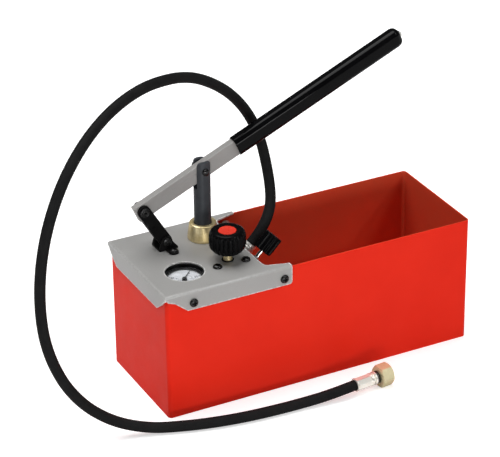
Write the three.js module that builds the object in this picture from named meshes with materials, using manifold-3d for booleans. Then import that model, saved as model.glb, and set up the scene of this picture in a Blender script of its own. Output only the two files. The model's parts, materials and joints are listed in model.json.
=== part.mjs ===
import * as THREE from "three";
import { mergeVertices } from "three/addons/utils/BufferGeometryUtils.js";
import Module from "manifold-3d";

// Hydrostatic test pump: an open water tank with a hand plunger pump bolted over its left end.
// Millimetres, +Z up, +X along the tank, the pump end at -X and the front at -Y.
// The origin is the middle of the tank's underside.

const wasm = await Module();
wasm.setup();

// Clearances and cutting
const seat = 0.3; // gap left between pieces that rest on each other
const overrun = 2; // how far a cut runs past the face it opens
const runningGap = 0.3; // radial gap round a piece that slides or turns
const weldDistance = 1e-4; // corners closer than this are one corner
const roundSides = 24;
const smallSides = 12;
const hexSides = 6;
const tubeSides = 8;
const ballRings = 10;
const cornerSteps = 4;
const archSteps = 8;
const pointsPerFlute = 4;

// Water tank
const tankLength = 437;
const tankWidth = 165;
const tankHeight = 174;
const tankWall = 1.5;
const tankCorner = 5;

// Folded cover plate
const plateThickness = 2;
const plateClear = 0.5; // between the flanges and the tank's walls
const plateReach = 145.5; // from the end flange to the edge of the throat
const earLength = 31.5; // from the edge of the throat to the ends of the ears
const plateFold = 3; // outer radius of the folds
const flangeDepth = 26;
const flangeCorner = 4;
const throatWidth = 116;
const throatKneeIn = 8.6;
const throatKneeWidth = 141.4;
const earTipWidth = 7.6;
const flangeStepFar = 31;
const flangeStepNear = 13.4;
const flangeStepLow = 14.1;
const flangeStepHigh = 19.7;
const endStepFar = 25;
const endStepNear = 11;
const endStepLow = 10.3;

// Every pan head screw, as shares of its head's radius or height
const screwHeightShare = 0.62;
const screwPointShare = 0.7;
const screwTaperShare = 0.4;
const screwDomeShares = [
  [1, 0],
  [1, 0.45],
  [0.8, 0.85],
  [0.45, 1],
  [0, 1],
];
const crossReachShare = 0.5;
const crossHalfShare = 0.13;
const crossFloorShare = 0.35;

// Flange screws and their nuts
const flangeScrewDrop = 16.3;
const flangeScrewLeft = 39;
const flangeScrewRight = 11.4;
const flangeScrewHead = 5.75;
const flangeScrewRadius = 2.5;
const flangeScrewLength = 11;
const flangeNutFlats = 8;
const flangeNutHeight = 4;

// Pump barrel, gland and plunger
const pumpInset = 33.5; // from the edge of the throat to the pump's axis
const pumpY = 36.2;
const barrelRadius = 21;
const barrelBore = 15;
const barrelShoulder = 10; // solid part between the bore and the neck
const neckRadius = 14.5;
const neckHeight = 14;
const rodRadius = 11;
const glandBaseRadius = 20;
const glandTopRadius = 16.8;
const glandHeight = 20;
const glandSkirt = 2.5;
const glandChamfer = 1.2;
const packingHeight = 4.4;
const glandLip = 3.3;
const rodTop = 12.1; // above the clevis bolt
const rodTopCorner = 5.5;
const clevisSlotDepth = 25; // below the clevis bolt
const clevisSlotClear = 0.4;
const pistonRadius = 14.6;
const pistonHeight = 20;
const pistonDrop = 141.9; // from the clevis bolt down to the piston's top
const sealWidth = 8;
const sealCoreRadius = 11.5;
const sealClear = 0.15;

// Pump foot with its two ball valves
const footRadius = 24;
const footHeight = 28;
const suctionChamberRadius = 7;
const suctionChamberLow = 10;
const suctionChamberHigh = 20;
const suctionOutletRadius = 4;
const suctionBallRadius = 5;
const seatPlugRadius = 8;
const seatPlugFlangeRadius = 12;
const seatPlugFlangeHeight = 5.7;
const seatPlugAbove = 9; // how far the plug reaches into the foot
const seatPlugBelow = 10; // how far it reaches down into the strainer
const seatPlugBore = 3;
const strainerRadius = 11;
const strainerWall = 1.5;
const strainerHeight = 17;
const strainerSlotWidth = 3;
const strainerSlotHeight = 9;
const strainerSlots = 6;
const strainerClear = 9.2; // above the tank's floor
const riserY = -8;
const deliveryBossRadius = 12;
const deliveryBossHeight = 34;
const deliveryBossLow = 6; // above the foot's underside
const deliveryArmHeight = 20;
const deliveryChamberRadius = 5.5;
const deliverySeatHeight = 22; // above the foot's underside
const deliverySeatBore = 2.5;
const deliveryChannelHeight = 15;
const deliveryBallRadius = 4;
const riserRadius = 5;
const riserBore = 3;
const riserInsert = 6;
const riserNutFlats = 17;
const riserNutHeight = 10;

// Linkage: bracket pivot, link, lever and clevis bolt
const leverArm = 92.7; // from the link's bolt to the clevis bolt
const leverRiseDegrees = 23.9;
const linkLength = 55.7;
const linkLeanDegrees = 31;
const pivotHeight = 12.2; // bracket pivot above the plate
const leverThickness = 10;
const leverDepth = 22;
const leverChamfer = 1;
const leverDrop = 0.8; // the bar's middle below the line through its two bolts
const leverEnd = 9.5; // behind the link's bolt
// The bar's hole round the clevis bolt is a slot, because the bolt's path leaves the lever's circle
const leverSlotBack = 0.3;
const leverSlotFront = 3;
const leverSlotRise = 0.5;
const leverSlotRadius = 4.2;
const linkThickness = 3;
const linkWidth = 17;
const pinRadius = 4;
const clevisBoltRadius = 3.2;
const clevisHeadRadius = 8.5;
const clevisHeadHeight = 4.5;
const clevisNutRadius = 4.9;
const clevisNutHeight = 4;
const linkBoltHead = 6.2;
const linkBoltHeadHeight = 3.2;
const linkNutFlats = 13;
const linkNutHeight = 6;

// Link bracket on the plate
const bracketThickness = 2.5;
const bracketEarThickness = 3;
const bracketLength = 26;
const bracketOffset = 2; // middle of the base, right of the pivot
const bracketTabOffset = 4.5;
const bracketTabRadius = 6.5;
const bracketScrewSpread = 41.4;
const bracketScrewHead = 5.3;
const bracketScrewRadius = 2.5;
const bracketScrewLength = 12;
const bracketEarRadius = 7.5;
const bracketPinHead = 5.8;
const bracketPinHeadHeight = 2;

// Pin and bolt heads, as shares of the head's radius and height
const pinHeadShares = [
  [1, 0],
  [1, 0.6],
  [0.75, 1],
  [0, 1],
];

// Lever grip
const gripStart = 144.5;
const gripLength = 260.5;
const gripPastBar = 20; // from the bar's end to the grip's tip
const gripWidth = 20.5;
const gripDepth = 25;
const gripCorner = 8;
const gripTipRound = 9;
const gripTipShrink = 7;
const plugRadius = 4;
const plugHeight = 3.5;
const plugStemRadius = 2.6;
const plugStemLength = 6;
const plugDomeShares = [
  [0.9, 0.6],
  [0.5, 1],
  [0, 1],
];

// Valve block under the plate
const blockAhead = 30.5; // from the block's left face to the shut-off valve
const blockSetback = 8.5; // from the block's top edge to the edge of the throat
const blockFaceRun = 28; // how far its leaning face reaches to the right
const blockFront = -56;
const blockBack = 12;
const blockDepth = 42;
const blockScrewY = -45;
const blockScrewSpread = 20; // each side of the shut-off valve
const blockScrewOffset = -0.5;
const blockScrewHead = 6;
const blockScrewRadius = 2.5;
const blockScrewLength = 20;
const channelRadius = 2.5;
const riserSocket = 9;

// Shut-off valve
const valveInset = 33; // from the edge of the throat to the valve's axis
const valveY = -33;
const valveBore = 6;
const valveBoreDepth = 16;
const bonnetRadius = 5.75;
const bonnetInside = 13;
const bonnetAbove = 11;
const bonnetHole = 7; // in the cover plate
const spindleRadius = 3;
const ringWidth = 1.45;
const ringDepth = 3;
const needleTipRadius = 0.8;
const needleLength = 4;
const spindleAbove = 31; // above the plate
const knobLift = 13.7; // underside of the knob above the plate
const knobHeight = 29;
const knobRadius = 23.5;
const knobFlutes = 22;
const knobFluteDepth = 1.5;
const knobLevelShares = [0, 0.2, 0.8, 1];
const knobRadiusShares = [0.76, 0.9, 1, 0.87];
const knobFluteShares = [0.6, 1, 1, 0];
const capRadius = 11.5;
const capRecess = 3.5;
const capThickness = 2;
const capChamfer = 0.7;
const capStemRadius = 4;
const capStemLength = 5;

// Ports on the block's leaning face, bleed valve and hose outlet
const leanDegrees = 45;
const bleedAlong = 11.1; // down the leaning face from its top edge
const bleedY = -38;
const bleedBore = 4.8;
const bleedBoreDepth = 14;
const bleedThread = 10;
const bleedHexFlats = 12;
const bleedHexHeight = 3.4;
const bleedNeck = 9;
const bleedNeckRadius = 4.5;
const bleedSpindleRadius = 3;
const bleedSpindleTip = 13.5;
const bleedSpindleOut = 38;
const bleedNeedleRadius = 1;
const bleedKnobStart = 19.3;
const bleedKnobLength = 25;
const bleedKnobRadius = 12.25;
const bleedKnobFlutes = 16;
const bleedKnobFluteDepth = 1;
const bleedLevelShares = [0, 0.08, 0.92, 1];
const bleedRadiusShares = [0.93, 1, 1, 0.93];
const bleedFluteShares = [0.6, 1, 1, 0.6];
const outletAlong = 16;
const outletY = -5;
const outletBore = 6;
const outletBoreDepth = 12;
const nippleThread = 10;
const nippleHexFlats = 16;
const nippleHexHeight = 6.5;
const nippleTailRadius = 3.4;
const nippleBore = 2;
const ferruleStart = 7.1;
const ferruleEnd = 16;
const ferruleRadius = 8.5;
const ferruleGroove = 0.8;

// Pressure gauge under the window
const gaugeInset = 51; // from the end flange to the gauge's axis
const gaugeY = -34.5;
const windowRadius = 25;
const windowSides = 32;
const gaugeRadius = 28;
const gaugeDepth = 27.5;
const gaugeFloor = 3;
const gaugeInner = 23;
const dialRadius = 24.6;
const dialThickness = 1;
const dialBelow = 10; // dial face below the plate's underside
const glassThickness = 1.6;
const glassRadius = 25.5;
const glassBelow = 4; // glass top below the plate's underside
const bezelInner = 24.2;
const stemRadius = 5;
const stemHeight = 19; // below the plate's underside
const stemReach = 12;
const stemHexFlats = 13;
const stemBore = 1.5;
const pointerHub = 3;
const pointerHubHeight = 2;
const pointerLength = 19;
const pointerTail = 7;
const pointerWidth = 1.8;
const pointerTipWidth = 0.6;
const pointerThickness = 0.6;
const pointerShaftRadius = 1;
const pointerShaftDrop = 8;
const pointerRestDegrees = 225;
const bourdonRadius = 15.5;
const bourdonTube = 2.2;
const bourdonTurnDegrees = 265;
const bourdonSteps = 18;

// Hose and its far end
const hoseRadius = 7;
const hoseSides = 10;
const hoseSteps = 46;
const hoseTopPoint = 19; // up to this point of its route the hose follows its outlet
const hoseFloorPoint = 33; // and from this one it keeps its place on the floor
const farTurnDegrees = 6.2; // the far end's direction, turned from +X towards +Y
const farFerruleLength = 32;
const farFerruleRadius = 8.8;
const farCrimpRadius = 7.9;
const farCrimpShares = [0.16, 0.3, 0.42, 0.56];
const farGrooveShare = 0.88;
const farGrooveWidth = 2;
const farGrooveRadius = 7;
const farNeckRadius = 6;
const farFlangeRadius = 10;
const farFlangeHeight = 3.4;
const farBore = 3;
const farSides = 18;
const unionFlats = 27;
const unionStart = 37;
const unionLength = 16.5;
const unionBack = 3.5;
const unionBore = 10.5;
const unionChamfer = 1.8;
const washerHeight = 2;
const washerInner = 5.5;

// The hose's route, from the outlet ferrule, under and behind the lever, round and down to the floor
const hoseRoute = [
  [-61.16, -5, 174.21],
  [-57.2, -4.9, 178.2],
  [-50.3, -3.9, 184.6],
  [-41.5, -0.3, 192],
  [-31.9, 6.6, 199.4],
  [-22.4, 17, 206.8],
  [-14.9, 29, 214.3],
  [-9.2, 41.9, 223.9],
  [-5.8, 52.8, 235],
  [-4.3, 62.7, 250],
  [-5.5, 70, 268.5],
  [-11, 74, 289.5],
  [-21, 75, 312],
  [-36, 72, 334.5],
  [-56, 67, 356.5],
  [-80, 60, 376],
  [-106.5, 52, 392],
  [-128, 45, 400.5],
  [-147.5, 38, 405.5],
  [-186.5, 23.5, 409.5],
  [-225, 7.5, 405.5],
  [-261.5, -9, 394],
  [-295, -25, 374.5],
  [-324, -39.5, 348],
  [-347.5, -52.5, 316.5],
  [-365.5, -63.5, 280],
  [-376.5, -71.5, 241],
  [-381, -77, 199.5],
  [-378.5, -80, 158],
  [-368, -81, 117.5],
  [-350.5, -82, 80],
  [-325, -84.5, 47],
  [-291.5, -91, 22],
  [-253.5, -102.5, 9.5],
  [-214.5, -116, 7.5],
  [-174.5, -127, 7.5],
  [-133.5, -134, 7.5],
  [-91.5, -137.5, 7.5],
  [-60, -139, 7.8],
  [-34, -141, 9.4],
  [-12, -142.6, 11.9],
  [3, -142.6, 13.3],
  [15.5, -141.3, 13.55],
];

// Heights and places that follow from the sizes above
const degrees = Math.PI / 180;
const plateBottom = tankHeight + seat;
const plateTop = plateBottom + plateThickness;
const flangeHalf = tankWidth / 2 + plateClear + plateThickness;
const plateLeft = -(tankLength / 2 + plateClear + plateThickness);
const throatX = plateLeft + plateReach;
const earEnd = throatX + earLength;
const flangeBottom = plateTop - flangeDepth;
const flangeScrewXs = [plateLeft + flangeScrewLeft, earEnd - flangeScrewRight];
const flangeScrewZ = plateTop - flangeScrewDrop;
const underPlate = plateBottom - seat;
const footBottom = tankWall + strainerClear + strainerHeight + 2 * seat + seatPlugFlangeHeight;
const footTop = footBottom + footHeight;
const barrelBottom = footTop + seat;
const pumpX = throatX - pumpInset;
const riserX = pumpX;
const leverX = pumpX - leverArm * Math.cos(leverRiseDegrees * degrees);
const pivotX = leverX + linkLength * Math.sin(linkLeanDegrees * degrees);
const pivotZ = plateTop + pivotHeight;
const leverZ = pivotZ + linkLength * Math.cos(linkLeanDegrees * degrees);
const clevisZ = leverZ + leverArm * Math.sin(leverRiseDegrees * degrees);
const leverBarLength = gripStart + gripLength - gripPastBar;
const linkInner = leverThickness / 2 + seat;
const linkOuter = linkInner + linkThickness;
const earInner = linkOuter + seat;
const earOuter = earInner + bracketEarThickness;
const valveX = throatX - valveInset;
const blockLeft = valveX - blockAhead;
const blockTopRight = throatX - blockSetback;
const blockRight = blockTopRight + blockFaceRun;
const blockBottom = underPlate - blockDepth;
const faceTop = new THREE.Vector3(blockTopRight, 0, underPlate);
const faceDown = new THREE.Vector3(Math.cos(leanDegrees * degrees), 0, -Math.sin(leanDegrees * degrees));
const faceOut = new THREE.Vector3(Math.sin(leanDegrees * degrees), 0, Math.cos(leanDegrees * degrees));
const bleedPort = faceTop.clone().addScaledVector(faceDown, bleedAlong).setY(bleedY);
const outletPort = faceTop.clone().addScaledVector(faceDown, outletAlong).setY(outletY);
const hoseStart = outletPort.clone().addScaledVector(faceOut, ferruleEnd + seat);
const valveSeatZ = underPlate - valveBoreDepth;
const gaugeX = plateLeft + gaugeInset;
const dialTop = plateBottom - dialBelow;
const glassTop = plateBottom - glassBelow;
const gaugeRim = glassTop + seat;
const gaugeBottom = underPlate - gaugeDepth;
const stemZ = plateBottom - stemHeight;

// Finishes
const finish = (color, roughness, metalness = 0) =>
  new THREE.MeshStandardMaterial({ color, roughness, metalness });
const redPaint = finish(0xd2281c, 0.4);
const greyPaint = finish(0xa3a3a1, 0.45);
const leverPaint = finish(0x999894, 0.45);
const blackPlastic = finish(0x141414, 0.35);
const blackSteel = finish(0x1a1a1b, 0.4, 0.5);
const rodSteel = finish(0x3b4045, 0.35, 0.7);
const brass = finish(0xb09a5c, 0.35, 0.9);
const zinc = finish(0xb8bab8, 0.3, 0.9);
const chrome = finish(0xdcdcdc, 0.12, 1);
const rubber = finish(0x121212, 0.75);
const whiteDial = finish(0xf2f2ee, 0.6);
const clearGlass = finish(0xf4f8fa, 0.05);
const redPlastic = finish(0xd8392a, 0.35);
const packingFibre = finish(0xd8d4c4, 0.8);

// Shape helpers. Every piece is a closed BufferGeometry.

function solidOf(geometry) {
  const bare = geometry.clone();
  bare.deleteAttribute("normal");
  bare.deleteAttribute("uv");
  const merged = mergeVertices(bare, weldDistance);
  const points = merged.attributes.position.array;
  const corners = merged.index.array;
  const triangles = [];
  const [a, b, c] = [new THREE.Vector3(), new THREE.Vector3(), new THREE.Vector3()];
  let volume = 0;
  for (let i = 0; i < corners.length; i += 3) {
    const [p, q, r] = corners.slice(i, i + 3);
    if (p === q || q === r || r === p) continue;
    triangles.push(p, q, r);
    volume += a.fromArray(points, 3 * p).dot(b.fromArray(points, 3 * q).cross(c.fromArray(points, 3 * r)));
  }
  const triVerts = Uint32Array.from(volume < 0 ? triangles.reverse() : triangles);
  const vertProperties = Float32Array.from(points);
  return new wasm.Manifold(new wasm.Mesh({ numProp: 3, vertProperties, triVerts }));
}

function geometryOf(solid) {
  const mesh = solid.getMesh();
  const geometry = new THREE.BufferGeometry();
  geometry.setAttribute("position", new THREE.BufferAttribute(mesh.vertProperties, 3));
  geometry.setIndex(new THREE.BufferAttribute(mesh.triVerts, 1));
  return geometry;
}

const join = (...pieces) => geometryOf(pieces.map(solidOf).reduce((whole, piece) => whole.add(piece)));
const cut = (piece, ...tools) =>
  geometryOf(tools.map(solidOf).reduce((left, tool) => left.subtract(tool), solidOf(piece)));
const common = (a, b) => geometryOf(solidOf(a).intersect(solidOf(b)));

// A shape's own X and Y become the piece's Y and Z, and it grows along X
const alongX = (geometry) =>
  geometry.applyMatrix4(
    new THREE.Matrix4().makeBasis(
      new THREE.Vector3(0, 1, 0),
      new THREE.Vector3(0, 0, 1),
      new THREE.Vector3(1, 0, 0),
    ),
  );
// A shape's own X and Y become the piece's X and Z, and it grows both ways from y = 0
const acrossY = (shape, width) => extruded(shape, width).translate(0, 0, -width / 2).rotateX(Math.PI / 2);

function extruded(shape, depth, curveSegments = archSteps) {
  return new THREE.ExtrudeGeometry(shape, { depth, bevelEnabled: false, curveSegments });
}

function block(x0, x1, y0, y1, z0, z1) {
  const box = new THREE.BoxGeometry(x1 - x0, y1 - y0, z1 - z0);
  return box.translate((x0 + x1) / 2, (y0 + y1) / 2, (z0 + z1) / 2);
}

function outline(points) {
  return new THREE.Shape(points.map(([x, y]) => new THREE.Vector2(x, y)));
}

// A piece turned about Z from a list of [radius, height]
function turned(profile, sides = roundSides) {
  const points = profile.map(([r, z]) => new THREE.Vector2(r, z));
  return new THREE.LatheGeometry(points, sides).rotateX(Math.PI / 2);
}

// A tube or ring turned about Z: its profile closes on itself
const turnedRing = (profile, sides) => turned([...profile, profile[0]], sides);

const tube = (inner, outer, z0, z1, sides) =>
  turnedRing(
    [
      [inner, z0],
      [outer, z0],
      [outer, z1],
      [inner, z1],
    ],
    sides,
  );

function disc(radius, z0, z1, sides = roundSides) {
  const cylinder = new THREE.CylinderGeometry(radius, radius, z1 - z0, sides);
  return cylinder.rotateX(Math.PI / 2).translate(0, 0, (z0 + z1) / 2);
}

const hexagon = (flats, z0, z1) => disc(flats / Math.sqrt(3), z0, z1, hexSides);

// A straight drilled hole between two points
function drill(from, to, radius) {
  const up = new THREE.Vector3(0, 0, 1);
  const way = new THREE.Vector3().subVectors(to, from);
  const turn = new THREE.Quaternion().setFromUnitVectors(up, way.clone().normalize());
  return disc(radius, 0, way.length(), smallSides).applyQuaternion(turn).translate(from.x, from.y, from.z);
}

// A domed screw with a cross recess: its seat is at z = 0 and its shank runs down
function panScrew(headRadius, shankRadius, length) {
  const height = headRadius * screwHeightShare;
  const head = turned(
    [
      [0, -length],
      [shankRadius * screwPointShare, -length],
      [shankRadius, shankRadius * screwTaperShare - length],
      [shankRadius, 0],
      ...screwDomeShares.map(([radius, level]) => [headRadius * radius, height * level]),
    ],
    smallSides,
  );
  const reach = headRadius * crossReachShare;
  const half = headRadius * crossHalfShare;
  const floor = height * crossFloorShare;
  return cut(
    head,
    block(-reach, reach, -half, half, floor, height + overrun),
    block(-half, half, -reach, reach, floor, height + overrun),
  );
}

// A fluted hand knob standing on z = 0, built from rings of points
function flutedKnob(radius, height, flutes, depth, levelShares, radiusShares, fluteShares) {
  const around = flutes * pointsPerFlute;
  const points = [0, 0, 0];
  levelShares.forEach((level, k) => {
    for (let i = 0; i < around; i += 1) {
      const groove = 2 * (i % pointsPerFlute) < pointsPerFlute ? 0 : depth * fluteShares[k];
      const r = radius * radiusShares[k] - groove;
      const angle = (2 * Math.PI * i) / around;
      points.push(r * Math.cos(angle), r * Math.sin(angle), height * level);
    }
  });
  points.push(0, 0, height);
  const top = 1 + levelShares.length * around;
  const faces = [];
  for (let i = 0; i < around; i += 1) {
    const next = (i + 1) % around;
    faces.push(0, 1 + next, 1 + i);
    for (let k = 0; k + 1 < levelShares.length; k += 1) {
      const [low, high] = [1 + k * around, 1 + (k + 1) * around];
      faces.push(low + i, low + next, high + next, low + i, high + next, high + i);
    }
    faces.push(top, top - around + i, top - around + next);
  }
  const geometry = new THREE.BufferGeometry();
  geometry.setAttribute("position", new THREE.Float32BufferAttribute(points, 3));
  return geometry.setIndex(faces);
}

function roundedRectangle(width, height, corner) {
  const [w, h, r] = [width / 2, height / 2, corner];
  const shape = new THREE.Shape();
  shape.absarc(w - r, h - r, r, 0, Math.PI / 2);
  shape.absarc(r - w, h - r, r, Math.PI / 2, Math.PI);
  shape.absarc(r - w, r - h, r, Math.PI, 1.5 * Math.PI);
  shape.absarc(w - r, r - h, r, 1.5 * Math.PI, 2 * Math.PI);
  return shape.closePath();
}

// A flat bar with round ends, from the origin up to a second centre
function stadium(length, radius) {
  const shape = new THREE.Shape();
  shape.absarc(0, length, radius, 0, Math.PI);
  shape.absarc(0, 0, radius, Math.PI, 2 * Math.PI);
  return shape.closePath();
}

// Sub-parts

function tank() {
  const body = extruded(roundedRectangle(tankLength, tankWidth, tankCorner), tankHeight, cornerSteps);
  const hollow = extruded(
    roundedRectangle(tankLength - 2 * tankWall, tankWidth - 2 * tankWall, tankCorner - tankWall),
    tankHeight,
    cornerSteps,
  ).translate(0, 0, tankWall);
  const screwHoles = flangeScrewXs.map((x) => flangeScrewHole(x));
  return cut(body, hollow, ...screwHoles);
}

function flangeScrewHole(x) {
  const reach = flangeHalf + overrun;
  return disc(flangeScrewRadius + runningGap, -reach, reach, smallSides)
    .rotateX(Math.PI / 2)
    .translate(x, 0, flangeScrewZ);
}

// The plate's folded skin, solid inside: a box with rounded folds at the front, back and left
function foldedBody(inset, right, bottom) {
  const [half, top, left] = [flangeHalf - inset, plateTop - inset, plateLeft + inset];
  const r = plateFold - inset;
  const section = new THREE.Shape();
  section.moveTo(-half, bottom);
  section.lineTo(half, bottom);
  section.absarc(half - r, top - r, r, 0, Math.PI / 2);
  section.absarc(r - half, top - r, r, Math.PI / 2, Math.PI);
  section.closePath();
  const side = new THREE.Shape();
  side.moveTo(left, bottom);
  side.lineTo(right, bottom);
  side.lineTo(right, top);
  side.absarc(left + r, top - r, r, Math.PI / 2, Math.PI);
  side.closePath();
  const lengthwise = alongX(extruded(section, right - left + overrun, cornerSteps)).translate(left, 0, 0);
  return common(lengthwise, acrossY(side, 2 * half + overrun));
}

function throat() {
  const [edge, knee] = [throatWidth / 2, throatKneeWidth / 2];
  const tip = flangeHalf - earTipWidth;
  const far = earEnd + overrun;
  const shape = new THREE.Shape();
  shape.moveTo(throatX, edge);
  shape.lineTo(throatX, -edge);
  shape.quadraticCurveTo(throatX, -knee, throatX + throatKneeIn, -knee);
  shape.lineTo(earEnd, -tip);
  shape.lineTo(far, -tip);
  shape.lineTo(far, tip);
  shape.lineTo(earEnd, tip);
  shape.lineTo(throatX + throatKneeIn, knee);
  shape.quadraticCurveTo(throatX, knee, throatX, edge);
  return extruded(shape, flangeDepth + 2 * overrun, cornerSteps).translate(0, 0, flangeBottom - overrun);
}

// What is trimmed off the side flanges: the stepped left end and the rounded right corner
function flangeTrims() {
  const low = flangeBottom - overrun;
  const steps = outline([
    [plateLeft - overrun, low],
    [plateLeft + flangeStepFar, low],
    [plateLeft + flangeStepFar, flangeBottom],
    [plateLeft + flangeStepNear, flangeBottom + flangeStepLow],
    [plateLeft - overrun, flangeBottom + flangeStepHigh],
  ]);
  const r = flangeCorner;
  const corner = new THREE.Shape();
  corner.moveTo(earEnd - r, low);
  corner.lineTo(earEnd + overrun, low);
  corner.lineTo(earEnd + overrun, flangeBottom + r);
  corner.absarc(earEnd - r, flangeBottom + r, r, 0, -Math.PI / 2, true);
  corner.closePath();
  const depth = 2 * plateThickness + overrun;
  const at = flangeHalf + overrun - depth / 2;
  return [steps, corner].flatMap((shape) => [
    acrossY(shape, depth).translate(0, at, 0),
    acrossY(shape, depth).translate(0, -at, 0),
  ]);
}

// What is trimmed off the end flange's two lower corners
function endFlangeTrims() {
  return [1, -1].map((side) => {
    const shape = outline([
      [side * (flangeHalf + overrun), flangeBottom - overrun],
      [side * (flangeHalf + overrun), flangeBottom + flangeStepHigh],
      [side * (flangeHalf - plateFold / 2), flangeBottom + flangeStepHigh],
      [side * (flangeHalf - endStepNear), flangeBottom + endStepLow],
      [side * (flangeHalf - endStepFar), flangeBottom],
      [side * (flangeHalf - endStepFar), flangeBottom - overrun],
    ]);
    return alongX(extruded(shape, plateThickness + 2 * overrun)).translate(plateLeft - overrun, 0, 0);
  });
}

function plateHole(x, y, radius, sides = smallSides) {
  return disc(radius, plateBottom - overrun, plateTop + overrun, sides).translate(x, y, 0);
}

function bracketScrewPlaces() {
  return [1, -1].map((side) => [pivotX + bracketTabOffset, pumpY - (side * bracketScrewSpread) / 2]);
}

function blockScrewPlaces() {
  return [-1, 1].map((side) => [valveX + blockScrewOffset + side * blockScrewSpread, blockScrewY]);
}

function coverPlate() {
  const skin = cut(
    foldedBody(0, earEnd, flangeBottom),
    foldedBody(plateThickness, earEnd + overrun, flangeBottom - overrun),
  );
  return cut(
    skin,
    throat(),
    ...flangeTrims(),
    ...endFlangeTrims(),
    ...flangeScrewXs.map((x) => flangeScrewHole(x)),
    plateHole(gaugeX, gaugeY, windowRadius, windowSides),
    plateHole(pumpX, pumpY, neckRadius + runningGap, roundSides),
    plateHole(valveX, valveY, bonnetHole, roundSides),
    ...blockScrewPlaces().map(([x, y]) => plateHole(x, y, blockScrewRadius + runningGap)),
    ...bracketScrewPlaces().map(([x, y]) => plateHole(x, y, bracketScrewRadius + runningGap)),
  );
}

const flangeNut = () =>
  cut(
    hexagon(flangeNutFlats, 0, flangeNutHeight),
    disc(flangeScrewRadius + runningGap, -overrun, flangeNutHeight + overrun, smallSides),
  );

// Pump, in heights above the tank's underside, turned about the pump's axis

function pumpBarrel() {
  const boreTop = underPlate - barrelShoulder;
  return turnedRing([
    [barrelBore, barrelBottom],
    [barrelRadius, barrelBottom],
    [barrelRadius, underPlate],
    [neckRadius, underPlate],
    [neckRadius, underPlate + neckHeight],
    [rodRadius + runningGap, underPlate + neckHeight],
    [rodRadius + runningGap, boreTop + barrelBore - rodRadius],
    [barrelBore, boreTop],
  ]);
}

function glandPacking() {
  const low = underPlate + neckHeight + seat;
  return tube(rodRadius + runningGap, neckRadius, low, low + packingHeight);
}

function glandNut() {
  const low = plateTop + seat;
  const high = low + glandHeight;
  return turnedRing(
    [
      [neckRadius + runningGap, low],
      [glandBaseRadius, low],
      [glandBaseRadius, low + glandSkirt],
      [glandTopRadius + glandChamfer / 2, high - glandChamfer],
      [glandTopRadius - glandChamfer / 2, high],
      [rodRadius + runningGap, high],
      [rodRadius + runningGap, high - glandLip],
      [neckRadius + runningGap, high - glandLip],
    ],
    roundSides,
  );
}

// Plunger rod, with its clevis bolt at z = 0
function plungerRod() {
  const pistonLow = -pistonDrop - pistonHeight;
  const grooveLow = pistonLow + (pistonHeight - sealWidth) / 2;
  const blank = turned([
    [0, pistonLow],
    [pistonRadius, pistonLow],
    [pistonRadius, grooveLow],
    [sealCoreRadius, grooveLow],
    [sealCoreRadius, grooveLow + sealWidth],
    [pistonRadius, grooveLow + sealWidth],
    [pistonRadius, -pistonDrop],
    [rodRadius, -pistonDrop],
    [rodRadius, rodTop],
    [0, rodTop],
  ]);
  const r = rodTopCorner;
  const front = new THREE.Shape();
  front.moveTo(-pistonRadius - overrun, pistonLow - overrun);
  front.lineTo(pistonRadius + overrun, pistonLow - overrun);
  front.lineTo(pistonRadius + overrun, -pistonDrop + overrun);
  front.lineTo(rodRadius, -pistonDrop + overrun);
  front.absarc(rodRadius - r, rodTop - r, r, 0, Math.PI / 2);
  front.absarc(r - rodRadius, rodTop - r, r, Math.PI / 2, Math.PI);
  front.lineTo(-rodRadius, -pistonDrop + overrun);
  front.lineTo(-pistonRadius - overrun, -pistonDrop + overrun);
  const slotHalf = leverThickness / 2 + clevisSlotClear;
  const across = rodRadius + overrun;
  return cut(
    common(blank, acrossY(front, 2 * pistonRadius + overrun)),
    block(-across, across, -slotHalf, slotHalf, -clevisSlotDepth, rodTop + overrun),
    disc(clevisBoltRadius + runningGap, -across, across, smallSides).rotateX(Math.PI / 2),
  );
}

function plungerSeal() {
  const low = -pistonDrop - pistonHeight + (pistonHeight - sealWidth) / 2 + seat;
  return tube(sealCoreRadius + seat, barrelBore - sealClear, low, low + sealWidth - 2 * seat);
}

function pumpFoot() {
  const low = footBottom;
  const chamberLow = low + suctionChamberLow;
  const chamberHigh = low + suctionChamberHigh;
  const bossLow = low + deliveryBossLow;
  const armLength = pumpY - riserY;
  const body = join(
    disc(footRadius, low, footTop),
    block(-deliveryBossRadius, deliveryBossRadius, -armLength, 0, bossLow, bossLow + deliveryArmHeight),
    disc(deliveryBossRadius, bossLow, bossLow + deliveryBossHeight).translate(0, -armLength, 0),
  );
  const channelZ = low + deliveryChannelHeight;
  const seatZ = low + deliverySeatHeight;
  const bossTop = bossLow + deliveryBossHeight;
  return cut(
    body,
    disc(suctionOutletRadius, chamberLow, footTop + overrun, smallSides),
    disc(suctionChamberRadius, chamberLow, chamberHigh, smallSides),
    disc(seatPlugRadius + seat, low - overrun, chamberLow, smallSides),
    drill(new THREE.Vector3(0, 0, channelZ), new THREE.Vector3(0, -armLength, channelZ), deliverySeatBore),
    disc(deliverySeatBore, channelZ, seatZ + overrun, smallSides).translate(0, -armLength, 0),
    disc(deliveryChamberRadius, seatZ, bossTop + overrun, smallSides).translate(0, -armLength, 0),
  );
}

function suctionSeat() {
  const flangeTop = footBottom - seat;
  const flangeLow = flangeTop - seatPlugFlangeHeight;
  return turnedRing(
    [
      [seatPlugBore, flangeLow - seatPlugBelow],
      [seatPlugRadius, flangeLow - seatPlugBelow],
      [seatPlugRadius, flangeLow],
      [seatPlugFlangeRadius, flangeLow],
      [seatPlugFlangeRadius, flangeTop],
      [seatPlugRadius, flangeTop],
      [seatPlugRadius, footBottom + seatPlugAbove],
      [seatPlugBore, footBottom + seatPlugAbove],
    ],
    smallSides,
  );
}

const ball = (radius) => new THREE.SphereGeometry(radius, smallSides, ballRings).rotateX(Math.PI / 2);
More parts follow.
